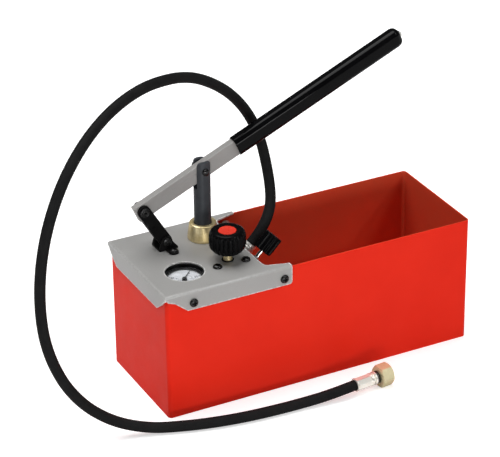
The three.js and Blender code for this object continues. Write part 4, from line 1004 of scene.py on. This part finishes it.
def hexagon_stack(node, place, flats, chamfer_from, slope, levels):
    """Levels gives each ring's radius and height, from the side's reach and the chamfer's drop there."""
    corner_at = corner_direction(node, place)

    def shape(ring, step):
        reach = hexagon_reach(flats, step - math.pi / 6)
        drop = max(0.0, reach - chamfer_from) * slope
        radius, height = levels(reach, drop)[ring]
        return ring_point(radius, step + corner_at, height)

    return stacked(len(levels(0, 0)), nut_sides, shape, bored=True)


def nut_shape(node, place, flats, low, high, bore):
    """Rings run from the bore up over the lower face, the flats and the upper face, back to the bore."""
    chamfer = flats / 2 * chamfer_share

    def levels(reach, drop):
        lower = [(bore, low), (chamfer, low), (reach, low + drop)]
        return [*lower, (reach, high - drop), (chamfer, high), (bore, high)]

    return hexagon_stack(node, place, flats, chamfer, chamfer_slope, levels)


# %% [markdown]
# The four nuts inside the tank wall stand on their washers, and nut and washer are one piece here.

# %% Flange nuts
flange_nut_flats = 0.0095
washer_bore = 0.0028
washer_radius = 0.0066
washer_height = 0.001
for corner, sign in flange_corners.items():
    node = f"flange_nut_{corner}"
    place, low, high, _ = on_axis(node, -sign * along_y)
    washer_top = low + washer_height
    nut = nut_shape(node, place, flange_nut_flats, washer_top, high, washer_bore)
    washer = rounded(tube_profile(washer_bore, washer_radius, low, washer_top), 0.0002, ring=True)
    add_shape(nut, spun(washer, 40, ring=True))
    finished(nut, f"{node}_plated", "zinc_steel", "pump_frame", [node], place)

# %% [markdown]
# The joints of the linkage turn on shouldered bolts. Their heads are turned, with a hexagon socket,
# and the one on the link is stepped, which shows as rings in the photograph.

# %% Linkage bolts
pin = 0.004
clevis_shank = 0.0032
clevis_head_share = 0.87
cut_margin = 0.001


def headed(low, high, shank, head, head_height, rim):
    """The profile of a pin with a head. Rim gives the head's outline: share of radius, depth from the top."""
    head_low = high - head_height
    outline = [(share * head, high - depth) for share, depth in rim]
    return [(0, low), (shank, low), (shank, head_low), (head, head_low), *outline, (0, high)]


def socketed(profile, corner, socket, depth):
    top = profile[-1][1]
    return carved(spun(rounded(profile, corner), 48), [prism(6, socket, top - depth, top + cut_margin)])


place, low, high, head = on_axis("link_bolt", -along_y)
stepped_rim = [(1, 0.0008), (0.8, 0.0002), (0.74, 0.0009), (0.62, 0.0009), (0.56, 0)]
bolt = socketed(headed(low, high, pin, head, 0.0032, stepped_rim), 0.0004, 0.0022, 0.0022)
finished(bolt, "link_top_bolt", "screw_black", "link", ["link_bolt"], place)

place, low, high, head = on_axis("clevis_bolt", along_y)
profile = headed(low, high, clevis_shank, clevis_head_share * head, 0.0045, [(1, 0.0014), (0.78, 0)])
bolt = socketed(profile, 0.0006, 0.003, 0.0025)
finished(bolt, "clevis_pin", "screw_black", "plunger", ["clevis_bolt"], place)

# %% [markdown]
# The clevis bolt ends in a domed nut and the link's bolt in a plain one. A plain pin carries the link's foot.

# %% Nuts and pin of the linkage
dome_angles = (0.0, 0.3, 0.6, 0.9, 1.2)
link_nut_flats = 0.011
link_nut_height = 0.0042
link_nut_bore = 0.0043


def dome_profile(radius, base, height):
    return [(radius * math.cos(a), base + height * math.sin(a)) for a in dome_angles]


place, low, high, head = on_axis("clevis_nut", -along_y)
tall = high - low
profile = [(0, low), (head, low), *dome_profile(head, low + 0.4 * tall, 0.6 * tall), (0, high)]
turning(profile, "clevis_cap_nut", "screw_black", "plunger", ["clevis_nut"], place, 36)

place, low, high, head = on_axis("bracket_pin", -along_y)
profile = headed(low, high, pin, head, 0.002, [(1, 0.0006), (0.72, 0)])
turning(profile, "pivot_pin", "screw_black", "pump_frame", ["bracket_pin"], place, 48, 0.0004)

place, low, _, _ = on_axis("link_nut", along_y)
link_nut = nut_shape("link_nut", place, link_nut_flats, low, low + link_nut_height, link_nut_bore)
finished(link_nut, "link_hex_nut", "black_steel", "link", ["link_nut"], place)

# %% [markdown]
# The links are flat bars with round ends. A circle whose upper half is pulled up by the link's length
# has just that outline. It is extruded to the bar's thickness, and its two rims take a bevel.

# %% Link bars
link_foot = Vector(joints["link_swing"]["pos_m"])
lever_origin = Vector(joints["lever_pivot"]["pos_m"])
link_axis = lever_origin - link_foot
link_half_width = 0.0085
link_edge = 0.0005


def square_place(x_way, y_way, z_way, origin):
    place = Matrix((x_way, y_way, z_way)).transposed().to_4x4()
    place.translation = origin
    return place


def link_bar(node):
    low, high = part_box(node)
    thickness = high.y - low.y
    bm = bmesh.new()
    bmesh.ops.create_circle(bm, segments=64, radius=link_half_width, cap_ends=True)
    upper = [v for v in bm.verts if v.co.y > -1e-6]
    bmesh.ops.translate(bm, verts=upper, vec=(0, link_axis.length, 0))
    made = bmesh.ops.extrude_face_region(bm, geom=list(bm.faces))["geom"]
    raised = [g for g in made if isinstance(g, bmesh.types.BMVert)]
    bmesh.ops.translate(bm, verts=raised, vec=(0, 0, thickness))
    bmesh.ops.recalc_face_normals(bm, faces=bm.faces)
    rims = [e for e in bm.edges if e.calc_face_angle() > math.radians(60)]
    bmesh.ops.bevel(bm, geom=rims, offset=link_edge, segments=3, profile=0.5, affect="EDGES", material=-1)
    holes = [prism(32, pin, -cut_margin, thickness + cut_margin) for _ in range(2)]
    bmesh.ops.translate(holes[1], verts=holes[1].verts, vec=(0, link_axis.length, 0))
    along = link_axis.normalized()
    place = square_place(along.cross(along_y), along, along_y, (link_foot.x, low.y, link_foot.z))
    finished(carved(bm, holes), f"{node}_bar", "black_steel", "link", [node], place)


link_bar("link_bar_front")
link_bar("link_bar_back")

# %% [markdown]
# ## Pump rod and gland
# The plunger rod is ground round bar whose top is rounded off and slotted for the lever.
# The slot and the bolt's hole are cut from a spun blank, as a miller would.

# %% Plunger rod
rod_place = axis_place((pump_axis.x, pump_axis.y, 0), up_z)
low, high, piston = span("plunger_rod", rod_place)
rod_radius = 0.011
top_round = 0.005
slot_half = 0.0054
slot_below_bolt = 0.025
slot_margin = 0.002
bolt_hole_radius = 0.0034
cutter_size = 0.03
cheek_half = math.sqrt(rod_radius**2 - slot_half**2)
bolt_height = middle("clevis_bolt").z
piston_below_bolt = 0.1419
piston_top = bolt_height - piston_below_bolt


def cross_bar(sides, radius, x, height):
    """A round bar along Y, long enough to cut right through the rod."""
    bm = prism(sides, radius, -0.02, 0.02)
    laid = Matrix.Translation((x, 0, height)) @ Matrix.Rotation(math.pi / 2, 4, "X")
    bmesh.ops.transform(bm, matrix=laid, verts=bm.verts)
    return bm


def shoulder_cutter(sign):
    """What is left of a square corner outside a round of top_round, seen along Y."""
    x, height, half = sign * (cheek_half - top_round), high - top_round, 0.005
    corner = (sign * (cheek_half - top_round + half), 0, height + half)
    square = box_shape((2 * half, cutter_size, 2 * half), corner)
    return carved(square, [cross_bar(48, top_round, x, height)])


shaft = [(rod_radius, piston_top), (rod_radius, high), (0, high)]
blank = spun(rounded([(0, low), (piston, low), (piston, piston_top), *shaft], 0.0003, 2), 96)
slot_low = bolt_height - slot_below_bolt
slot_size = (cutter_size, 2 * slot_half, high - slot_low + slot_margin)
slot = box_shape(slot_size, (0, 0, (high + slot_low + slot_margin) / 2))
bolt_hole = cross_bar(32, bolt_hole_radius, 0, bolt_height)
rod = carved(blank, [slot, bolt_hole, shoulder_cutter(1), shoulder_cutter(-1)])
finished(rod, "ground_rod", "rod_steel", "plunger", ["plunger_rod"], rod_place)

# %% [markdown]
# The gland nut holds the packing round the rod. It is a short brass cone with a bevelled bore and a skirt.

# %% Gland nut
low, high, skirt = span("gland_nut", rod_place)
gland_rise = 0.0024
high += gland_rise
gland_top = 0.0168
gland_bore = rod_radius + 0.0004
gland_neck = 0.0148
gland_seat = high - 0.0033
profile = [
    (gland_neck, low),
    (skirt, low),
    (skirt, low + 0.0028),
    (gland_top + 0.0006, high - 0.0008),
    (gland_top - 0.0012, high),
    (gland_bore + 0.0008, high),
    (gland_bore, high - 0.0008),
    (gland_bore, gland_seat),
    (gland_neck, gland_seat),
]
turning(profile, "brass_gland", "brass", "pump_frame", ["gland_nut"], rod_place, 96, 0.0006, ring=True)

# %% [markdown]
# ## Grip
# The grip is a dipped plastic sleeve: a rounded rectangle, square at the lever's end and rounded at its tip.
# A circle's points become a rounded rectangle when each is pushed out to the nearest corner's centre.

# %% Lever grip
tip_plug = middle("grip_end_plug")
grip_way = Vector((tip_plug.x - lever_origin.x, 0, tip_plug.z - lever_origin.z)).normalized()
grip_place = square_place(along_y, grip_way.cross(along_y), grip_way, lever_origin)
x_values, y_values, z_values = zip(*local_points("lever_grip", grip_place))
grip_start, grip_end = min(z_values), max(z_values)
grip_half = Vector((max(x_values), (max(y_values) - min(y_values)) / 2))
grip_drop = (max(y_values) + min(y_values)) / 2
print("grip ends, mm:", in_mm((grip_start, grip_end)), "half size:", in_mm(grip_half))

grip_corner = 0.008
tip_length = 0.0095
tip_inset = 0.0072
tip_steps = 9
grip_sides = 48
bar_half = Vector((0.0054, 0.0114))
lip = Vector((0.0005, 0.0005))
grip_rings = [
    (bar_half, 0.0008, grip_start + 0.006),
    (bar_half, 0.0008, grip_start + 0.0004),
    (grip_half - 2 * lip, grip_corner - 0.001, grip_start),
    (grip_half - 0.6 * lip, grip_corner - 0.0003, grip_start + 0.0003),
    (grip_half, grip_corner, grip_start + 0.001),
]
for k in range(tip_steps + 1):
    a = math.pi / 2 * k / tip_steps
    inset = tip_inset * (1 - math.cos(a))
    height = grip_end - tip_length * (1 - math.sin(a))
    grip_rings.append((grip_half - Vector((inset, inset)), grip_corner - inset, height))


def grip_shape(ring, angle):
    half, corner, height = grip_rings[ring]
    cos, sin = math.cos(angle), math.sin(angle)
    x = math.copysign(half.x - corner, cos) + corner * cos
    y = math.copysign(half.y - corner, sin) + corner * sin
    return Vector((x, y, 0)) + Vector((0, grip_drop, height))


grip = stacked(len(grip_rings), grip_sides, grip_shape, offset=math.pi / grip_sides)
finished(grip, "dipped_grip", "dipped_black", "lever", ["lever_grip"], grip_place)

# %% [markdown]
# A small domed button closes the grip's tip.

# %% Grip's end button
place, low, high, plug = on_axis("grip_end_plug", grip_way)
stem = 0.0026
seat = high - 0.0035
profile = [(0, low), (stem, low), (stem, seat), *dome_profile(plug, seat, 0.0032), (0, high)]
turning(profile, "tip_button", "zinc_steel", "lever", ["grip_end_plug"], place, 32)

# %% [markdown]
# ## Hand knobs
# Both knobs are moulded with flutes that fingers can grip. A flute is a shallow groove with a round bottom,
# so the radius dips with a rounded wave of the angle. The flutes fade out into the plain rim at the top.

# %% Flutes


def narrow_groove(wave):
    return wave**2.6


def wide_groove(wave):
    return 1 - (1 - wave) ** 3


def fluted(levels, flutes, depth, points_per_flute, groove):
    """Levels are radius, height and share of the flute's depth, from the underside to the top."""

    def shape(ring, angle):
        radius, height, share = levels[ring]
        reach = radius - depth * share * groove(0.5 + 0.5 * math.cos(flutes * angle))
        return ring_point(reach, angle, height)

    return stacked(len(levels), flutes * points_per_flute, shape)


# %% [markdown]
# The shut-off knob is a low drum with a recess in its top, which holds the red cap.

# %% Shut-off knob and its cap
knob_place = axis_place((valve_axis.x, valve_axis.y, 0), up_z)
low, high, knob = span("valve_knob", knob_place)
cap_low, cap_high, cap = span("valve_knob_cap", knob_place)
tall = high - low
recess = cap + 0.0004
knob_levels = [
    (0.0036, low + 0.006, 0),
    (0.0036, low + 0.0002, 0),
    (0.0042, low, 0),
    (0.72 * knob, low, 0),
    (0.775 * knob, low + 0.0004, 0.3),
    (0.84 * knob, low + 0.07 * tall, 0.8),
    (0.91 * knob, low + 0.14 * tall, 1),
    (0.965 * knob, low + 0.2 * tall, 1),
    (0.99 * knob, low + 0.26 * tall, 1),
    (knob, low + 0.4 * tall, 1),
    (knob, low + 0.66 * tall, 1),
    (0.995 * knob, low + 0.76 * tall, 1),
    (0.975 * knob, low + 0.83 * tall, 0.95),
    (0.95 * knob, low + 0.88 * tall, 0.6),
    (0.915 * knob, low + 0.925 * tall, 0.15),
    (0.87 * knob, low + 0.965 * tall, 0),
    (0.82 * knob, high - 0.0003, 0),
    (0.77 * knob, high, 0),
    (recess + 0.0016, high - 0.0003, 0),
    (recess + 0.0006, high - 0.0006, 0),
    (recess, high - 0.0014, 0),
    (recess, high - 0.0034, 0),
]
drum = fluted(knob_levels, 22, 0.0017, 12, narrow_groove)
finished(drum, "shut_off_knob", "black_plastic", "valve_handwheel", ["valve_knob"], knob_place)

cap_rim = cap_high + 0.0007
cap_shoulder = cap_high - 0.002
cap_stem = 0.004
profile = [
    (0, cap_low),
    (cap_stem, cap_low),
    (cap_stem, cap_shoulder),
    (cap, cap_shoulder),
    (cap, cap_rim - 0.0006),
    (0.97 * cap, cap_rim - 0.0001),
    (0.9 * cap, cap_rim),
    (0.8 * cap, cap_rim - 0.0002),
    (0.4 * cap, cap_rim - 0.0007),
    (0, cap_rim - 0.0008),
]
turning(profile, "red_cap", "red_plastic", "valve_handwheel", ["valve_knob_cap"], knob_place)

# %% [markdown]
# The bleed knob leans with its spindle. Its flutes are wider and run to both faces.

# %% Bleed knob
bleed_place = axis_place(joints["bleed_turn"]["pos_m"], bleed_axis)
low, high, knob = span("bleed_knob", bleed_place)
bleed_levels = [
    (0.0034, low + 0.005, 0),
    (0.0034, low + 0.0002, 0),
    (0.004, low, 0),
    (0.88 * knob, low, 0),
    (0.94 * knob, low + 0.0003, 0.6),
    (0.985 * knob, low + 0.0012, 1),
    (knob, low + 0.0025, 1),
    (knob, high - 0.0025, 1),
    (0.985 * knob, high - 0.0012, 1),
    (0.94 * knob, high - 0.0003, 0.6),
    (0.88 * knob, high, 0),
    (0.3 * knob, high, 0),
]
drum = fluted(bleed_levels, 15, 0.0014, 14, wide_groove)
finished(drum, "bleed_hand_knob", "black_plastic", "bleed_handwheel", ["bleed_knob"], bleed_place)

# %% [markdown]
# ## Valve stems and hose fittings
# These are all turnings and hexagons again, on the valve's upright axis and the two leaning ones.

# %% Shut-off valve
low, high, stem = span("valve_spindle", knob_place)
profile = [(0, low), (0.0008, low), (0.0022, low + 0.004), (stem, low + 0.0045), (stem, high), (0, high)]
turning(profile, "shut_off_spindle", "zinc_steel", "valve_stem", ["valve_spindle"], knob_place, 40)

low, high, bonnet = span("valve_bonnet", knob_place)
bore = stem + 0.0003
seat = high - 0.0033
counterbore = [(bore + 0.0018, high), (bore + 0.0018, seat), (bore, seat)]
profile = [(bore, low), (bonnet, low), (bonnet, high), *counterbore]
turning(profile, "brass_bonnet", "brass", "pump_frame", ["valve_bonnet"], knob_place, 64, 0.0005, ring=True)

plate_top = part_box("cover_plate")[1].z
seal_low = plate_top + 0.0002
inner, outer = bonnet + 0.0002, bonnet + 0.0022
profile = [(inner, seal_low), (outer, seal_low), (outer, plate_top + 0.0009), (inner, plate_top + 0.0013)]
turning(profile, "bonnet_seal", "seal_rubber", "pump_frame", (), knob_place, 64, 0.0003, ring=True)

# %% Bleed valve
low, high, stem = span("bleed_spindle", bleed_place)
end = [(stem, high - 0.0004), (stem - 0.0004, high), (0, high)]
profile = [(0, low), (0.001, low), (stem, low + 0.002), *end]
turning(profile, "bleed_spindle_rod", "bright_chrome", "bleed_stem", ["bleed_spindle"], bleed_place, 40)

low, high, _ = span("bleed_bonnet", bleed_place)
bleed_nut_flats = 0.012
hexagon = nut_shape("bleed_bonnet", bleed_place, bleed_nut_flats, 0.0003, 0.0037, 0.0034)
neck = spun(rounded(tube_profile(0.0033, 0.0045, low, high), 0.0004, ring=True), 48, ring=True)
add_shape(hexagon, neck)
finished(hexagon, "bleed_seat_nut", "bright_chrome", "pump_frame", ["bleed_bonnet"], bleed_place)

# %% [markdown]
# At its outlet the hose sits in a smooth ferrule with one groove, behind a nipple with a hexagon.

# %% Outlet nipple and ferrule
outlet_place = axis_place(hose_route[0], bleed_axis)
low, high, _ = span("hose_nipple", outlet_place)
face = low + 0.01
nipple_flats = 0.016
nipple_bore, nipple_neck, nipple_thread = 0.002, 0.0034, 0.0057
hexagon = nut_shape("hose_nipple", outlet_place, nipple_flats, face + 0.0003, face + 0.0065, 0.003)
profile = [
    (nipple_bore, low),
    (nipple_thread, low),
    (nipple_thread, face + 0.001),
    (nipple_neck, face + 0.001),
    (nipple_neck, high),
    (nipple_bore, high),
]
add_shape(hexagon, spun(rounded(profile, 0.0003, ring=True), 48, ring=True))
finished(hexagon, "outlet_nipple", "zinc_steel", "pump_frame", ["hose_nipple"], outlet_place)

low, high, ferrule = span("hose_ferrule", outlet_place)
groove = (low + high) / 2
ferrule_bore = 0.0037
groove_radius = ferrule - 0.0008
profile = [
    (ferrule_bore, low),
    (ferrule, low),
    (ferrule, groove - 0.0011),
    (groove_radius, groove - 0.0004),
    (groove_radius, groove + 0.0004),
    (ferrule, groove + 0.0011),
    (ferrule, high),
    (ferrule_bore, high),
]
outline = rounded(profile, 0.0006, ring=True)
turning(outline, "outlet_ferrule", "zinc_steel", "pump_frame", ["hose_ferrule"], outlet_place, ring=True)

# %% [markdown]
# The far end is crimped: a machine squeezes the sleeve between eight dies, which leave eight flats
# with a low ridge between each pair. A stack of rings shows that, round at both lips and flattened between.

# %% Far ferrule
far_place = axis_place(hose_route[-1], union_axis)
high = span("far_ferrule", far_place)[1]
crimp_sector = 2 * math.pi / 8
crimp_turn = math.radians(4.8)
ridge_half = math.radians(3.2)
ridge_height = 0.0003
sleeve = 0.0088
crimped = sleeve - 0.0002
waist = sleeve - 0.0018
sleeve_end = 0.032
flange_low = 0.0408
far_neck, far_flange, far_bore = 0.006, 0.01, 0.003
far_levels = [
    (0.0068, 0.003, 0),
    (0.0071, 0.0003, 0),
    (sleeve - 0.0006, 0.0003, 0),
    (sleeve, 0.0009, 0),
    (sleeve, 0.0022, 0),
    (crimped, 0.003, 1),
    (crimped, 0.0036, 1),
    (crimped, 0.0219, 1),
    (crimped, 0.0225, 1),
    (sleeve, 0.0234, 0),
    (sleeve, 0.0258, 0),
    (sleeve - 0.0008, 0.0262, 0),
    (waist, 0.0264, 0),
    (waist, 0.028, 0),
    (sleeve - 0.0008, 0.0282, 0),
    (sleeve, 0.0286, 0),
    (sleeve, sleeve_end - 0.0006, 0),
    (sleeve - 0.0006, sleeve_end, 0),
    (far_neck, sleeve_end, 0),
    (far_neck, flange_low, 0),
    (far_flange - 0.0002, flange_low, 0),
    (far_flange, flange_low + 0.0003, 0),
    (far_flange, high - 0.0004, 0),
    (far_flange - 0.0004, high, 0),
    (far_bore + 0.0004, high, 0),
    (far_bore, high - 0.0004, 0),
    (far_bore, high - 0.012, 0),
]


def far_shape(ring, angle):
    radius, height, flat = far_levels[ring]
    inside = (angle - crimp_turn + crimp_sector / 2) % crimp_sector - crimp_sector / 2
    pressed = min(radius, radius * math.cos(crimp_sector / 2) / math.cos(inside))
    from_ridge = crimp_sector / 2 - abs(inside)
    pressed += ridge_height * max(0.0, 1 - from_ridge / ridge_half)
    return ring_point(radius + (pressed - radius) * flat, angle, height)


sleeve_bm = stacked(len(far_levels), 160, far_shape)
far_ferrule = finished(sleeve_bm, "crimped_ferrule", "ferrule_zinc", "pump_frame", ["far_ferrule"], far_place)

# %% [markdown]
# The union nut turns on a collar and presses its washer against the pipe that is tested.

# %% Collar, washer and union nut
profile = tube_profile(0.0062, 0.0084, sleeve_end + 0.0003, sleeve_end + 0.0042)
swivel_collar = turning(
    profile, "swivel_collar", "screw_black", "pump_frame", (), far_place, 56, 0.0008, ring=True
)
low, high, _ = span("union_washer", far_place)
profile = tube_profile(0.0055, 0.01, low, high)
union_washer = turning(
    profile, "union_seal", "seal_rubber", "union", ["union_washer"], far_place, 48, 0.0005, ring=True
)

low, high, _ = span("union_nut", far_place)
union_flats = 0.027
union_bore = 0.0105
union_neck = 0.0063
union_back = low + 0.0035
union_chamfer = 0.0136
union_slope = 0.62


def union_levels(reach, drop):
    back = [(union_neck, union_back), (union_neck, low + 0.0003), (union_neck + 0.0003, low)]
    sides = [(union_chamfer, low), (reach, low + drop), (reach, high - drop), (union_chamfer, high)]
    bore = [(union_bore + 0.0009, high), (union_bore, high - 0.0009), (union_bore, union_back)]
    return back + sides + bore


union_bm = hexagon_stack("union_nut", far_place, union_flats, union_chamfer, union_slope, union_levels)
union_nut = finished(union_bm, "union_hex_nut", "union_zinc", "union", ["union_nut"], far_place)

# %% [markdown]
# ## Pressure gauge
# Below its round window in the plate sits a small gauge: a stepped black bezel, clear glass, a white dial
# with a printed scale, and a thin pointer. The scale runs through three quarters of a turn.

# %% Bezel, glass and dial
gauge_centre = middle("gauge_bezel")
gauge_place = axis_place((gauge_centre.x, gauge_centre.y, 0), up_z)
fine = 96
low, high, bezel = span("gauge_bezel", gauge_place)
inner = 0.0242
profile = [
    (inner, low),
    (bezel, low),
    (bezel, high),
    (inner + 0.0022, high),
    (inner + 0.0016, high - 0.0006),
    (inner + 0.0009, high - 0.0006),
    (inner, high - 0.0014),
]
outline = rounded(profile, 0.0003, ring=True)
turning(outline, "bezel_ring", "gauge_black", "pump_frame", ["gauge_bezel"], gauge_place, fine, ring=True)

glass_low, high, glass = span("gauge_glass", gauge_place)
profile = tube_profile(0, glass, glass_low, high)
turning(profile, "window_glass", "clear_glass", "pump_frame", ["gauge_glass"], gauge_place, fine, 0.0003)

low, dial_face, dial = span("gauge_dial", gauge_place)
hole = 0.0013
rim = 0.0002
profile = [(hole, low), (dial, low), (dial, dial_face - rim), (dial - rim, dial_face), (hole, dial_face)]
turning(profile, "dial_plate", "dial_white", "pump_frame", ["gauge_dial"], gauge_place, fine, ring=True)

# %% [markdown]
# Between glass and dial stands a sloping rim. Seen through the window, it shows as light rings in the dark.

# %% Rim behind the glass
low, high = dial_face + 0.0002, glass_low - 0.0002
profile = [
    (0.0212, low),
    (0.0243, low),
    (0.0243, high),
    (0.0236, high),
    (0.0232, high - 0.0008),
    (0.0226, high - 0.0008),
    (0.0221, high - 0.0022),
    (0.0214, high - 0.0022),
]
turning(profile, "gauge_rim", "screw_black", "pump_frame", (), gauge_place, fine, 0.0003, 2, ring=True)

# %% [markdown]
# The scale is printing, so it is made as paper-thin ink on the dial: a box for each mark, longer at
# the numbers, with a smaller scale inside it and a thin circle round the whole.

# %% Marks of the scale
scale_radius = 0.0208
inner_scale_radius = 0.0106
inner_scale_share = 0.7
scale_start = math.radians(225)
scale_turn = math.radians(270)
ink_height = 0.00008
ink_middle = dial_face + ink_height / 2
divisions = 60
per_number = 10
number_mark, half_mark, short_mark = (0.0028, 0.0007), (0.0018, 0.0004), (0.0012, 0.00022)
arc_outer = scale_radius + 0.0002
arc_inner = arc_outer - 0.0004


def scale_angle(share):
    return scale_start - scale_turn * share


def mark_size(i):
    if i % per_number == 0:
        return number_mark
    return half_mark if i % (per_number // 2) == 0 else short_mark


def arc_shape(ring, angle):
    radius = arc_outer if ring in (1, 2) else arc_inner
    return ring_point(radius, angle, dial_face + (ink_height if ring in (2, 3) else 0))


ink = bmesh.new()
for i in range(divisions + 1):
    length, width = mark_size(i)
    for radius, share in ((scale_radius, 1), (inner_scale_radius, inner_scale_share)):
        mark = Matrix.Rotation(scale_angle(i / divisions), 4, "Z")
        mark @= Matrix.Translation((radius - share * length / 2, 0, ink_middle))
        mark @= Matrix.Diagonal((share * length, share * width, ink_height, 1))
        bmesh.ops.create_cube(ink, size=1, matrix=mark)
add_shape(ink, stacked(4, 120, arc_shape, bored=True))

# %% [markdown]
# The numbers are plain digits made as text, turned into a mesh and stood round the dial.

# %% Numbers of the scale
digit_height = 0.0042
digit_radius = 0.0152
digit_weight = 0.00012
for number in range(0, divisions + 1, per_number):
    curve = bpy.data.curves.new("scratch_digits", "FONT")
    curve.body = str(number)
    curve.size = digit_height
    curve.align_x = "CENTER"
    curve.align_y = "CENTER"
    curve.extrude = ink_height / 2
    curve.offset = digit_weight
    text = add_object("scratch_digits", curve)
    bpy.context.view_layer.update()
    mesh = bpy.data.meshes.new_from_object(text)
    mesh.transform(Matrix.Translation(ring_point(digit_radius, scale_angle(number / divisions), ink_middle)))
    ink.from_mesh(mesh)
    bpy.data.objects.remove(text)
    bpy.data.curves.remove(curve)
    bpy.data.meshes.remove(mesh)
finished(ink, "dial_scale", "dial_ink", "pump_frame", (), gauge_place)

# %% [markdown]
# The pointer is a stamped needle on a round hub, made by squeezing a long thin box towards its tip.

# %% Pointer
low = span("gauge_pointer", gauge_place)[0]
hub_low = dial_face + 0.0003
needle_length, needle_tail, needle_width, needle_height = 0.019, 0.007, 0.0018, 0.0005
tip_share = 0.25
middle_x = (needle_length - needle_tail) / 2
size = (needle_length + needle_tail, needle_width, needle_height)
needle = box_shape(size, (middle_x, 0, hub_low + 0.0009))
tip = [v for v in needle.verts if v.co.x > middle_x]
bmesh.ops.scale(needle, vec=(1, tip_share, 1), verts=tip)
spindle, hub = 0.001, 0.003
profile = [(0, low), (spindle, low), (spindle, hub_low), (hub, hub_low)]
profile += [(hub, hub_low + 0.0018), (0, hub_low + 0.002)]
add_shape(needle, spun(rounded(profile, 0.0004), 40))
needle_place = gauge_place @ Matrix.Rotation(scale_start, 4, "Z")
finished(needle, "gauge_needle", "gauge_black", "pointer", ["gauge_pointer"], needle_place)

# %% [markdown]
# ## Studio
# The picture is a catalogue cut-out: white all round, soft light from above and from the front left.
# A pale floor catches the shadow. The camera sees it brighter than it is, so that it runs out into white.

# %% Floor
floor_size = 12
floor_glow = 0.55
white = (1, 1, 1, 1)
floor_bm = bmesh.new()
bmesh.ops.create_grid(floor_bm, x_segments=1, y_segments=1, size=floor_size)
floor = mesh_object("floor", floor_bm)
nodes, shader, vector = new_finish("pale_floor", gloss=0.2)
grain = nodes.noise(vector, 3.0, 2.0)
nodes.put(nodes.mixed(grain, (0.72, 0.72, 0.72, 1), (0.76, 0.76, 0.76, 1)), shader.inputs["Base Color"])
seen = nodes.add("ShaderNodeLightPath").outputs["Is Camera Ray"]
shader.inputs["Emission Color"].default_value = white
nodes.put(nodes.math("MULTIPLY", seen, floor_glow), shader.inputs["Emission Strength"])
shader.inputs["Roughness"].default_value = 0.7
floor.data.materials.append(finishes["pale_floor"])
floor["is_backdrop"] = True

# %% [markdown]
# The world is white where the camera looks past the floor, but gives the object only a little light.
# Three far panels and two soft boxes shape the metal instead.

# %% World
fill_light = 0.12
world = bpy.data.worlds.new("studio")
world.use_nodes = True
background = world.node_tree.nodes["Background"].inputs
background["Color"].default_value = white
nodes = Nodes(world.node_tree)
seen = nodes.add("ShaderNodeLightPath").outputs["Is Camera Ray"]
nodes.put(nodes.ranged(seen, 0.0, 1.0, fill_light, 1.0), background["Strength"])
bpy.context.scene.world = world
bpy.context.scene.view_settings.view_transform = "Standard"

# %% Lamps
heart = (-0.05, 0, 0.1)


def lamp_at(name, kind, where, towards, energy):
    data = bpy.data.lights.new(name, kind)
    data.energy = energy
    aim = (Vector(where) - Vector(towards)).to_track_quat("Z", "Y").to_matrix().to_4x4()
    add_object(name, data).matrix_world = Matrix.Translation(where) @ aim
    return data


def sky_panel(name, direction, spread, strength):
    """A sun with a wide disc: as even as a very large panel far away."""
    lamp_at(name, "SUN", direction, (0, 0, 0), strength).angle = math.radians(spread)


def soft_box(name, where, width, height, power):
    data = lamp_at(name, "AREA", where, heart, power)
    data.shape = "RECTANGLE"
    data.size = width
    data.size_y = height


sky_panel("overhead_panel", (-0.15, 0.2, 1), spread=50, strength=3.15)
sky_panel("right_panel", (0.42, -0.46, 0.78), spread=11, strength=0.45)
sky_panel("front_glint", (0.4, -0.75, 0.44), spread=1.5, strength=0.2)
soft_box("low_front_box", (-0.5, -2.4, 0.3), width=1.4, height=0.4, power=18)
soft_box("left_box", (-2.4, -0.5, 0.5), width=1.2, height=0.8, power=4.5)

# %% [markdown]
# ## Last measures
# Both boxes are gathered, and the dressed model's is printed, to set beside the frame's printed at the start.
# The dressed model must not outgrow the frame.

# %% Measure and finish
low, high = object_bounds()
sizes = {"cad": [list(cad_low), list(cad_high)], "scene": [list(low), list(high)]}
print("scene box, mm:", in_mm((*low, *high)))
